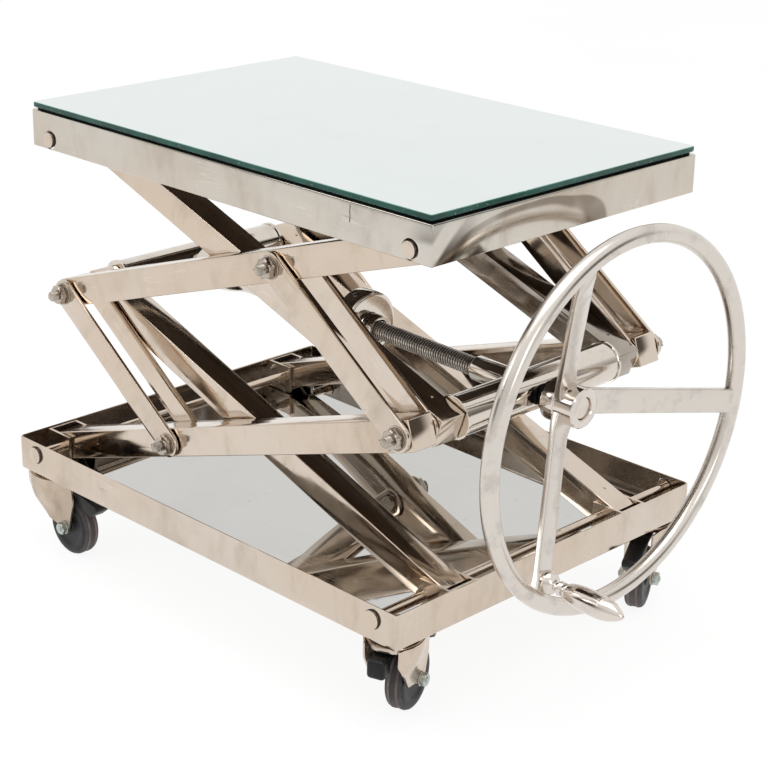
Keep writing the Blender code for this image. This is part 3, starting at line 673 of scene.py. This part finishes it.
def make_bars():
    reach, end = (PIN_LOW - BASE_L).length, BAR_LENGTH
    kinds = (("lower_outer_bar", BASE_L, OUTER_ANGLE, ((0, SHAFT_R), (reach, PIN_R), (end, PIN_R)), False),
             ("lower_inner_bar", MID_L, -INNER_ANGLE, ((0, PIN_R), (end, SHAFT_R)), True),
             ("upper_inner_bar", TOP_L, -INNER_ANGLE, ((0, SHAFT_R), (end, PIN_R)), False),
             ("upper_outer_bar", MID_L, OUTER_ANGLE, ((0, PIN_R), (end - reach, PIN_R), (end, SHAFT_R)), True))
    for label, _ in SIDES:
        for kind, point, angle, pins, rounded in kinds:
            node = "%s_%s" % (kind, label)
            # the upper bars on the far side get the darker nickel as painted shade
            metal = NICKEL_PAINTED_SHADE if kind.startswith("upper") and label == "far" else NICKEL_BAR
            bm = plate(bar_points(rounded), -BAR_HALF, BAR_HALF, 1.5 * MM, 3)
            cuts = [cylinder_y(x, 0, radius + 0.4 * MM, -0.03, 0.03) for x, radius in pins]
            for x in (0.030, end - 0.030):
                cuts.append(shifted(rod_shape(22.5 * MM, 30 * MM, 2.4 * MM, 16), move((x, 0.004, 0))))
            middle_y = (low(node).y + high(node).y) / 2
            spot = move((0, middle_y, 0)) @ leaning(point, angle)
            piece(node + "_skin", drill(bm, joined(*cuts)), metal, kind + "s", spot, node)


def make_links():
    for end, hub, pin in (("left", MID_L, PIN_LOW), ("right", MID_R, PIN_HIGH)):
        way = pin - hub
        spot = leaning(hub, math.atan2(way.z, way.x))
        points = arc((0, 0), 0.023, 90, 270, 24) + arc((way.length, 0), 0.023, -90, 90, 24)
        for layer in ("outer", "inner"):
            for label, _ in SIDES:
                node = "%s_link_%s_%s" % (end, layer, label)
                near, far = low(node).y, high(node).y
                holes = [cylinder_y(x, 0, radius, near - 0.01, far + 0.01)
                         for x, radius in ((0, SLEEVE_R), (way.length, 14.5 * MM))]
                bm = drill(plate(points, near, far, 1.0 * MM), joined(*holes))
                piece(node + "_skin", bm, NICKEL_BAR, "links_" + end, spot, node)


# ---------------------------------------------------------------- fasteners
def nut_shape(z0, z1, flat):
    """Hexagon nut with chamfered corners; flat is half its width across flats."""
    corner = flat / math.cos(math.pi / 6)
    return lathe([(z0, flat), (z0 + 1.2 * MM, corner), (z1 - 1.4 * MM, corner), (z1, flat * 0.99)], 72, flat)


def washer_shape(z0, z1, outer, inner):
    c = min(0.5 * MM, (z1 - z0) * 0.4)
    return ring_lathe([(z0, inner), (z0, outer - c * 0.6), (z0 + c, outer), (z1 - c, outer), (z1, outer - c),
                       (z1, inner)], 56)


def threaded_end(z0, z1, radius):
    """Stations of a rod end with a few turns of thread and a domed tip."""
    stations = []
    z, pitch, depth = z0, 1.75 * MM, 0.55 * MM
    while z + pitch < z1 - 1.5 * MM:
        stations += [(z, radius - depth), (z + pitch * 0.45, radius), (z + pitch * 0.6, radius)]
        z += pitch
    return stations + [(z1 - 1.6 * MM, radius - 0.3 * MM), (z1 - 0.7 * MM, radius * 0.82),
                       (z1 - 0.2 * MM, radius * 0.5), (z1, 0)]


def cotter(z, radius, turn):
    """Split pin through the bolt, with an eye on one side and two bent legs on the other."""
    turns = [math.radians(degrees - 90) for degrees in range(30, 345, 15)]
    eye = [Vector((-radius - 2.2 * MM - 2.0 * MM * math.sin(t), 0, 1.9 * MM * math.cos(t))) for t in turns]
    shank = [Vector((-radius - 1.0 * MM, 0, 0.1 * MM)), Vector((radius + 2.0 * MM, 0, 0))]
    wires = [tube_along(eye, 0.8 * MM), tube_along(shank, 1.5 * MM, 10)]
    for sign in (-1, 1):
        stations = mm((0.5, 0.6), (2.0, 1.1), (3.2, 2.4), (3.5, 4.6), at=radius)
        wires.append(tube_along([Vector((x, 0, sign * off)) for x, off in stations], 0.8 * MM))
    return shifted(joined(*wires), move((0, 0, z)) @ turn_by(turn, "Z"))


def make_bolts():
    """Each pivot's bolt, spacer, washers, nut and split pin."""
    kinds = (("link_bolt_low", "lower_outer_bars", PIN_LOW, 205), ("link_bolt_high", "upper_outer_bars", PIN_HIGH, 222),
             ("stub_bolt_left", "tube_left", MID_L, 238), ("stub_bolt_right", "tube_right", MID_R, 214))
    bar_face = high("lower_outer_bar_far").y
    plate_in, plate_out = low("left_link_outer_far").y, high("left_link_outer_far").y
    tip = high("stub_bolt_left_far").y
    z, bore = plate_out + 0.3 * MM, 9.2 * MM
    headed_profile, plain_profile = ((0, 0), (0, 11.8), (1.2, 13), (8.4, 13), (8.4, 9)), ((0, 0), (0, 8), (1, 9))
    for name, body, point, turn in kinds:
        headed = name.startswith("link")
        for label, side in SIDES:
            node = "%s_%s" % (name, label)
            spot = across(point, side)
            start = abs(high(node).y if side < 0 else low(node).y)
            rod = mm(*(headed_profile if headed else plain_profile), at=start)
            rod += [(plate_out + 14 * MM, PIN_R)] + threaded_end(plate_out + 14.5 * MM, tip, 8.2 * MM)
            piece(node + "_rod", lathe(rod, 36), HARDWARE, body, spot, node)
            spacer = washer_shape(bar_face + 0.3 * MM, plate_in - 0.3 * MM, 15.5 * MM, bore)
            # on the link bolts the spacer is black: painted shade in the gap between bar and link
            piece(node + "_spacer", spacer, BLACK if headed else NICKEL_DULL, body, spot)
            piece(node + "_washer_a", washer_shape(z, z + 1.7 * MM, 18.8 * MM, bore), HARDWARE, body, spot)
            # the second washer is dark: painted shade in the gap between the washers
            washer, tilt = washer_shape(z + 1.8 * MM, z + 3.2 * MM, 16.8 * MM, bore), move((0.5 * MM, -0.4 * MM, 0))
            piece(node + "_washer_b", washer, OLD_STEEL_AND_GAP_SHADE, body, spot @ tilt)
            nut = nut_shape(z + 3.3 * MM, z + 14.0 * MM, 14.5 * MM)
            piece(node + "_nut", nut, HARDWARE, body, spot @ turn_by(turn * side, "Z"), sharp=24.0)
            piece(node + "_split_pin", cotter(z + 17.2 * MM, SLEEVE_R, turn - 30), OLD_STEEL_AND_GAP_SHADE, body, spot)


# ---------------------------------------------------------------- shafts and brackets
def make_shafts():
    for name, point in (("base_shaft_left", BASE_L), ("base_shaft_right", BASE_R),
                        ("top_shaft_left", TOP_L), ("top_shaft_right", TOP_R)):
        body = name.split("_")[0]
        r, pan = (14.5, "base_tray") if body == "base" else (12.8, "top_frame")
        end = high(name).y + 2.2 * MM
        half = mm((0, 0), (0, r - 0.9), (0.15, r - 0.25), (0.6, r), (9, r), (9, 8), at=-end)
        bm = lathe(mirrored(half))
        # the sides of the shaft heads are painted dark: painted shade
        paint(bm, 1, lambda n, c: abs(n.z) < 0.5 and abs(c.z) > 0.2)
        piece(name + "_skin", bm, [NICKEL_BAR, PAINTED_SHADE_HEAD_SIDE], body, across(point, 1), name)
        # thin dark rings at the walls round each shaft: painted shade in the gap
        for label, side in SIDES:
            gap = mm((0.05, r + 0.2), (0.05, r + 1.0), (0.5, r + 0.8), (0.5, r + 0.2), at=high(pan).y)
            piece("%s_gap_%s" % (name, label), ring_lathe(gap, 48), GREASE_AND_GAP_SHADE, body, across(point, side))


def small_bolt(turn):
    """Hex nut on a washer with a short stud end, standing along local Z."""
    washer = washer_shape(0.1 * MM, 1.3 * MM, 7.25 * MM, 2.5 * MM)
    stud = lathe(mm((3.35, 2.5), (6.85, 2.5), (7.75, 1.75), (7.95, 0)), 20)
    return shifted(joined(washer, nut_shape(1.35 * MM, 5.35 * MM, 5 * MM), stud), turn_by(turn, "Z"))


def make_brackets():
    for (end, sx), point in zip(ENDS, (BASE_L, BASE_R)):
        for label, side in SIDES:
            node = "clevis_%s_%s" % (end, label)
            materials = frame["nodes"][node].data.materials
            materials.clear()
            materials.append(NICKEL_DULL)
            inner = min(abs(low(node).y), abs(high(node).y))
            for index, dz in enumerate((-0.020, 0.008)):
                spot = across(Vector((point.x + sx * 0.030, side * inner, point.z + dz)), -side)
                piece("%s_bolt_%d" % (node, index), small_bolt(20 * index + 11), HARDWARE, "base", spot)


# ---------------------------------------------------------------- middle
def make_tubes():
    for end, point in (("left", MID_L), ("right", MID_R)):
        node, body = "cross_tube_" + end, "tube_" + end
        half = mm((0, 9.4), (0, 33), (0.8, 34), (5.2, 34), (6, 33.4), (6.2, 32), at=-high(node).y)
        bm = ring_lathe(mirrored(half), 72)
        if end == "right":
            spot = across(point, 1).inverted() @ along_screw()
            bm = drill(bm, shifted(rod_shape(-0.06, 0.06, 17.6 * MM, 48), spot))
        piece(node + "_skin", bm, NICKEL_TURNED, body, across(point, 1), node)
        for label, side in SIDES:
            shim = ring_lathe(mm((177.2, 9.4), (177.2, 21.5), (177.6, 21.5), (177.6, 9.4)), 40)
            piece("%s_shim_%s" % (node, label), shim, NICKEL_DULL, body, across(point, side))


def thread_mesh(z0, z1, outer, depth, pitch):
    """Helical thread as one grid wound along the rod, with capped ends."""
    bm = bmesh.new()
    steps, shape = 32, (0.0, 0.1, 0.95, 1.0, 0.95, 0.1)
    rows = len(shape)
    turns = int((z1 - z0) / pitch) - 1
    grid = []
    for k in range(turns * rows + 1):
        radius = outer - depth * (1 - shape[k % rows])
        ring = []
        for i in range(steps):
            turn = 2 * math.pi * i / steps
            z = z0 + pitch * (k / rows + i / steps)
            ring.append(bm.verts.new((radius * math.cos(turn), radius * math.sin(turn), z)))
        grid.append(ring)
    last = len(grid) - 1
    for k in range(last):
        for i in range(steps - 1):
            bm.faces.new((grid[k][i], grid[k][i + 1], grid[k + 1][i + 1], grid[k + 1][i]))
    for k in range(last - rows):
        bm.faces.new((grid[k][-1], grid[k + rows][0], grid[k + rows + 1][0], grid[k + 1][-1]))
    first = grid[0] + [grid[k][0] for k in range(rows, 0, -1)]
    end = grid[last] + [grid[last - k][-1] for k in range(1, rows + 1)]
    for loop, z in ((first, z0 + 0.5 * pitch), (end, z1 - 0.2 * pitch)):
        centre = bm.verts.new((0, 0, z))
        for a, b in zip(loop, loop[1:] + loop[:1]):
            if a is not b:
                bm.faces.new((a, b, centre))
    return bm


def make_screw():
    spot = along_screw()
    thread = thread_mesh(-0.445, -0.105, 15.2 * MM, 2.6 * MM, 5.2 * MM)
    piece("lead_screw_thread", thread, SCREW_STEEL, "screw", spot, "lead_screw", 60.0)
    sleeve = mm((-111, 0), (-111, 17), (-110.6, 19.5), (-109.8, 20), (-33.6, 20), (-32.6, 19.2), (-32.6, 17), (99, 17),
                (100, 16.2), (100, 0))
    piece("lead_screw_journal", lathe(sleeve, 56), NICKEL_TURNED, "screw", spot)
    ring = ring_lathe(mm((32.7, 17.4), (32.7, 23.2), (33.7, 24), (42.5, 24), (43.5, 23), (43.5, 17.4)), 56)
    piece("thrust_ring_skin", ring, BLACK, "tube_right", spot, "thrust_ring")
    # nut carrier: a block saddled on the left tube, tapering to a neck, and the drum with its blind bore
    taper = [(75 + 80 * i / 12, 27.9 + 5.9 * math.cos(math.pi * i / 12)) for i in range(13)]
    profile = mm((32.3, 0), (32.3, 34), (73, 34), *taper, at=-SCREW_SPAN)
    profile += mm((-390, 22), (-386, 23.5), (-383, 27), (-381.5, 34), (-380.6, 50), (-380, 55), (-378, 57.5),
                  (-375.5, 58), (-351.5, 58), (-349, 57.2), (-347.5, 55), (-347, 50), (-347, 24.5), (-346.2, 23.5),
                  (-326.2, 23.5), (-324.5, 22.5), (-324, 20.5), (-324, 18), (-326, 16.6), (-590, 16.3), (-590, 0))
    saddle = move((0, 0, -SCREW_SPAN)) @ TO_Y
    bm = drill(lathe(profile, 72), shifted(rod_shape(-0.06, 0.06, 32.4 * MM, 64), saddle))
    piece("nut_carrier_skin", bm, NICKEL_TURNED, "tube_left", spot, "nut_carrier")
    for turn in (20, 110, 200, 290):
        cap = lathe(mm((56, 0), (56, 4.5), (58.6, 4.5), (59, 3.6), (59, 0)), 20)
        cap = shifted(cap, turn_by(turn, "Z") @ move((0, 0, -0.3635)) @ turn_by(90, "Y"))
        piece("drum_screw_%d" % turn, cap, HARDWARE, "tube_left", spot)


# ---------------------------------------------------------------- handwheel
SPOKES = (114.6, -7.3, 234.5)
RIM_R, RIM_Z, RIM_TUBE, HANDLE_R = 0.2845, 0.172, 0.0138, 0.2545


def wheel_point(angle, radius, z):
    turn = math.radians(angle)
    return Vector((-radius * math.sin(turn), radius * math.cos(turn), z))


def spoke_mesh(angle):
    """Flat bar from the hub to the rim: bends out at the root, widens where it is brazed on."""
    outward = wheel_point(angle, 1.0, 0.0)
    side = outward.cross(Vector((0, 0, 1)))
    straight = [(62 + 202 * i / 12, 86.5 + 84 * i / 12) for i in range(1, 13)]
    path = mm((20, 74.5), (34, 76.5), (48, 81), *straight, (275, 172.2))
    bm = bmesh.new()
    rings = []
    for i, (radius, z) in enumerate(path):
        before, after = path[max(i - 1, 0)], path[min(i + 1, len(path) - 1)]
        slope = Vector((after[0] - before[0], after[1] - before[1])).normalized()
        normal = outward * -slope.y + Vector((0, 0, slope.x))
        centre = outward * radius + Vector((0, 0, z))
        flare = max(0.0, (radius - 0.235) / 0.037)
        root = max(0.0, (0.055 - radius) / 0.035)
        half_w = 0.0195 - 0.0006 * flare + 0.0025 * root
        half_t = 0.0045 + 0.0030 * flare ** 2 + 0.0022 * root
        corner = 1.5 * MM
        ring = []
        for sx, sy, start in QUADRANTS:
            for x, y in arc((sx * (half_w - corner), sy * (half_t - corner)), corner, start, start + 90, 3):
                ring.append(bm.verts.new(centre + side * x + normal * y))
        rings.append(ring)
    return loft(bm, rings)


def make_handwheel():
    spot = along_screw()
    rim = ring_lathe(arc((RIM_Z, RIM_R), RIM_TUBE, 0, 345, 23), 160)
    piece("handwheel_rim", rim, BRUSHED, "screw", spot, "handwheel")
    for index, angle in enumerate(SPOKES):
        piece("handwheel_spoke_%d" % index, spoke_mesh(angle), BRUSHED, "screw", spot)
    hub = mm((44.1, 17.4), (44.1, 31.5), (44.9, 33), (47, 33.8), (66, 33.8), (68.5, 33), (70, 31.8), (76, 31.5),
             (99, 31.5), (102, 31.2), (103.8, 29.6), (104.5, 27), (104.5, 19), (103, 17.4))
    hole = rod_shape(0.020, 0.045, 3.2 * MM, 20)
    hole = shifted(hole, move((0, 0, 0.0860)) @ turn_by(-150, "Z") @ turn_by(90, "Y"))
    piece("handwheel_hub", drill(ring_lathe(hub, 72), hole), CHROME, "screw", spot)
    boss = mm((-9, 0), (-9, 9), (-7, 13), (-2, 16.6), (4, 18.2), (9, 18.1), (14, 16.3), (18, 13.2), (20.5, 10.4),
              (21.8, 8.8), (22, 8), (22, 0))
    seat = spot @ move(wheel_point(SPOKES[2], HANDLE_R, RIM_Z))
    piece("handle_boss", lathe(boss, 56), CHROME, "screw", seat)
    pin = mm((22.1, 0), (22.1, 7.8), (23, 7), (26.5, 7), (27.8, 8.2), (28.6, 10.2), (29.8, 11), (35, 10.4), (36, 9.8),
             (37, 10.4), (42.5, 11), (44, 10.4), (44.5, 9), (44.5, 5), (114, 5), (114.8, 0))
    piece("handle_spindle_skin", lathe(pin, 40), CHROME, "screw", seat, "handle_spindle")
    grip = lathe(mm((45, 5.6), (45, 11.8), (45.8, 13.2), (50, 14.7), (58, 16.3), (68, 17.5), (78, 18), (90, 18.1),
                    (101, 17.8), (106, 17.5), (106.6, 17), (107.8, 17), (108.4, 17.4), (115, 16.4), (122, 14.7),
                    (129, 12.2), (135, 9.4), (140, 6.4), (143.2, 3.8), (144.8, 1.8), (145.3, 0)))
    # the grip is an open shell: the hole at its root, around the spindle, has no bore behind it
    for face in [f for f in grip.faces if len(f.verts) > 4]:
        grip.faces.remove(face)
    piece("crank_handle_skin", grip, CHROME, "crank_handle", seat, "crank_handle")


# ---------------------------------------------------------------- casters
def along(pairs, at):
    """Straight-line reading of a curve given by a few (position, value) pairs."""
    for (p0, v0), (p1, v1) in zip(pairs, pairs[1:]):
        if at <= p1:
            t = max(0.0, (at - p0) / (p1 - p0))
            return v0 + (v1 - v0) * t
    return pairs[-1][1]


def fork_side(side, axle, top):
    """Pressed horn leg: bowed like the crown at its top, flat at the axle, with a crease between."""
    front = mm((0, -43.5), (18, -43), (38, -29.5), (56, -13.5), (80, 7.2), (90, 19))
    back = mm((0, 69), (20, 71), (40, 69), (58, 64), (80, 58.5), (90, 57.5))
    bow = mm((-40, 30.5), (-25, 40), (-5, 44.4), (10, 43.7), (20, 41.2), (45, 30), (71, 23))
    rows, columns, thick, foot, flat_y = 22, 16, 3.2 * MM, 12.5 * MM, 23 * MM
    reach = top - axle.z + foot
    bm = bmesh.new()
    layers = []
    for depth in (0.0, thick):
        grid = []
        for i in range(rows + 1):
            z = top - reach * i / rows
            down = max(0.0, top - z - 7.2 * MM)
            x0, x1 = along(front, down), along(back, down)
            if z < axle.z + 0.004:
                half = math.sqrt(max(foot ** 2 - (z - axle.z) ** 2, 1e-6))
                blend = min(1.0, (axle.z + 0.004 - z) / 0.004)
                x0 += (axle.x - half - x0) * blend
                x1 += (axle.x + half - x1) * blend
            settle = min(1.0, down / 0.078)
            settle = settle * settle * (3 - 2 * settle)
            line = []
            for j in range(columns + 1):
                x = x0 + (x1 - x0) * j / columns
                y = along(bow, x) * (1 - settle) + flat_y * settle
                line.append(bm.verts.new((x, side * (y - depth), z)))
            grid.append(line)
        layers.append(grid)
    outer, inner = layers
    for i in range(rows):
        for j in range(columns):
            for grid in layers:
                bm.faces.new((grid[i][j], grid[i][j + 1], grid[i + 1][j + 1], grid[i + 1][j]))
        for j in (0, columns):
            bm.faces.new((outer[i][j], outer[i + 1][j], inner[i + 1][j], inner[i][j]))
    for i in (0, rows):
        for j in range(columns):
            bm.faces.new((outer[i][j], outer[i][j + 1], inner[i][j + 1], inner[i][j]))
    return bm


def make_caster(corner):
    pos = Vector(JOINTS["swivel_" + corner]["pos_m"])
    hub = Vector(JOINTS["roll_" + corner]["pos_m"])
    trail = (hub - pos).xy.length
    spot = move((pos.x, pos.y, 0)) @ Matrix.Rotation(HEADINGS[corner], 4, "Z")
    body, wheel, brake = "caster_" + corner, "wheel_" + corner, "brake_" + corner
    crown = mm((-7.5, 0), (-7.5, 30), (-8.6, 32.5), (-8.2, 36), (-7.6, 40), (-7.8, 40.5), (-9, 42.8), (-11, 43.8),
               (-15.4, 44), (-16.6, 43.4), (-16.8, 42.2), (-16.8, 0))
    piece("caster_crown_" + corner, lathe(crown, 64), NICKEL_DULL, body, spot, "caster_fork_" + corner)
    for label, side in (("a", -1), ("b", 1)):
        leg = fork_side(side, Vector((trail, 0, hub.z)), -8.8 * MM)
        leg = drill(leg, cylinder_y(trail, hub.z, 5.4 * MM, -0.04, 0.04, 24))
        piece("caster_leg_%s_%s" % (label, corner), leg, NICKEL_DULL, body, spot)
    race = ring_lathe(mm((-7, 28.5), (-7, 32.5), (-8.4, 32.5), (-8.4, 28.5)), 48)
    piece("caster_race_" + corner, race, ZINC, body, spot)
    axle_spot = spot @ across(Vector((trail, 0, hub.z)), 1)
    rod = lathe(mm((-35.3, 0), (-35.3, 4), (-34.3, 5), (34.5, 5), (35.5, 4), (35.5, 0)), 28)
    piece("caster_axle_rod_" + corner, rod, ZINC, body, axle_spot, "caster_axle_" + corner)
    face = 23.4 * MM
    for end, z, thick, way in (("head", 0.0, 8.2 * MM, move((0, 0, -face)) @ turn_by(180, "X")),
                               ("nut", face, 8.4 * MM, turn_by(13, "Z"))):
        washer = washer_shape(z, z + 1.4 * MM, 11.5 * MM, 5.4 * MM)
        nut = nut_shape(z + 1.5 * MM, z + 1.5 * MM + thick, 9.6 * MM)
        piece("caster_axle_%s_%s" % (end, corner), joined(washer, nut), ZINC, body, axle_spot @ way, sharp=24.0)
    r = (high("caster_wheel_" + corner).z - hub.z) / MM
    half = mm((0, 5.6), (0, 13), (1.6, 14.5), (2.2, 30), (1, 33), (0, 35), (0, r - 8), (1.2, r - 4), (3.2, r - 1.6),
              (6, r - 0.5), (6.6, r - 0.1), (10.2, r), (10.8, r - 0.7), (14.2, r - 0.7), at=-15 * MM)
    bm = ring_lathe(mirrored(half), 96)
    paint(bm, 1, lambda n, c: c.xy.length < (r - 3.2) * MM and abs(c.z) > 8 * MM)
    paint(bm, 2, lambda n, c: c.xy.length > (r - 1.6) * MM and 4.9 * MM < abs(c.z) < 8.4 * MM)
    piece("caster_tyre_" + corner, bm, [TYRE, HUB_BLACK, TYRE_RIB], wheel, axle_spot, "caster_wheel_" + corner)
    block = plate(mm((-38.5, -20.8), (-38.5, -51.5), (-65, -51.5), (-65, -20.8)), -14.8 * MM, 14.8 * MM)
    bmesh.ops.bevel(block, geom=block.edges[:], offset=6.5 * MM, segments=4, profile=0.5, affect="EDGES")
    piece("caster_stop_" + corner, block, LEVER, brake, spot)
    # foot lever: thin web over the wheel, thick pedal behind it
    points = mm((-45, -27.5), (-45, -21), (58, -20.5), (118, -33.5)) + arc((0.1205, -0.0405), 0.0070, 75, -35, 6)
    points += mm((108.5, -59), (93, -53), (58, -27.5))
    lever = plate(points, -14.6 * MM, 14.6 * MM, 2.0 * MM, 3)
    piece("caster_lever_" + corner, lever, LEVER, brake, spot, "caster_brake_" + corner)


# ---------------------------------------------------------------- stage
def make_floor():
    bm = bmesh.new()
    bmesh.ops.create_grid(bm, x_segments=2, y_segments=2, size=30.0)
    bmesh.ops.translate(bm, vec=(0, 0, low("caster_wheel_near_right").z - 0.2 * MM), verts=bm.verts)
    mesh = bpy.data.meshes.new("studio_floor")
    bm.to_mesh(mesh)
    bm.free()
    g = Graph("studio_floor")
    g.set(Base_Color=(0.90, 0.90, 0.90), Roughness=0.9, Specular_IOR_Level=0.0)
    glow, mixer = g.new("Emission"), g.new("MixShader")
    g.link(g.ramp(g.noise(0.6, 2.0), 0.2, 0.8, 1.00, 1.03), glow.inputs["Strength"])
    g.link(0.88, mixer.inputs[0])
    g.link(g.shader.outputs[0], mixer.inputs[1])
    g.link(glow.outputs[0], mixer.inputs[2])
    g.link(mixer.outputs[0], g.tree.nodes["Material Output"].inputs["Surface"])
    mesh.materials.append(g.mat)
    add_object("studio_floor", mesh)


def make_world():
    """White sweep behind the object; at either side of the camera a dim warm room under a bright ceiling."""
    world = bpy.data.worlds.new("studio")
    bpy.context.scene.world = world
    world.use_nodes = True
    g = Tree(world.node_tree)
    x, y, z = g.split(g.new("TexCoord").outputs["Generated"])
    toward = g.plus(g.times(x, 0.70), g.times(y, -0.71))
    room = g.times(g.ramp(toward, -0.25, 0.05), g.ramp(toward, 0.30, 0.60, 1.0, 0.25))
    room = g.times(room, g.ramp(z, 0.38, 0.52, 1.0, 0.0))
    room = g.times(room, g.ramp(z, 0.01, 0.10))
    room = g.times(room, g.math("SUBTRACT", 1.0, g.new("LightPath").outputs["Is Camera Ray"]))
    g.link(g.mix(room, (1.0, 1.0, 1.0), (0.100, 0.086, 0.072)), g.tree.nodes["Background"].inputs["Color"])


def make_lights():
    for name, where, wide, tall, level in (("ceiling_box", (0.3, -0.4, 3.2), 3.0, 2.2, 2.0),
                                           ("key_box", (-1.9, -2.9, 2.1), 1.3, 0.9, 3.5),
                                           ("side_box", (3.1, -1.2, 1.5), 0.5, 1.3, 3.5)):
        light = bpy.data.lights.new(name, "AREA")
        light.shape = "RECTANGLE"
        light.size, light.size_y = wide, tall
        light.energy = level * math.pi * wide * tall
        lamp = add_object(name, light)
        lamp.location = where
        lamp.rotation_euler = (Vector((0, 0, 0.3)) - Vector(where)).to_track_quat("-Z", "Y").to_euler()


def make_camera():
    azimuth, elevation, roll = math.radians(44.49), math.radians(20.87), math.radians(1.17)
    distance, pan_x, pan_y, focal, image_width = 3.2866, 0.0630, 0.1776, 1932.4, 768
    level = math.cos(elevation)
    back = Vector((math.sin(azimuth) * level, -math.cos(azimuth) * level, math.sin(elevation)))
    right = Vector((math.cos(azimuth), math.sin(azimuth), 0.0))
    up = back.cross(right)
    turned_right = right * math.cos(roll) + up * math.sin(roll)
    turned_up = up * math.cos(roll) - right * math.sin(roll)
    data = bpy.data.cameras.new("camera")
    data.sensor_width = 36.0
    data.lens = focal / image_width * data.sensor_width
    camera = add_object("camera", data)
    rotation = Matrix((turned_right, turned_up, back)).transposed().to_4x4()
    camera.matrix_world = move(back * distance + turned_right * pan_x + turned_up * pan_y) @ rotation
    bpy.context.scene.camera = camera
    view = bpy.context.scene.view_settings
    view.view_transform = "Standard"
    view.look = "None"


for make in (make_base, make_top, make_glass, make_bars, make_links, make_bolts, make_shafts, make_brackets,
             make_tubes, make_screw, make_handwheel):
    make()
for corner in HEADINGS:
    make_caster(corner)
for make in (make_floor, make_world, make_lights, make_camera):
    make()
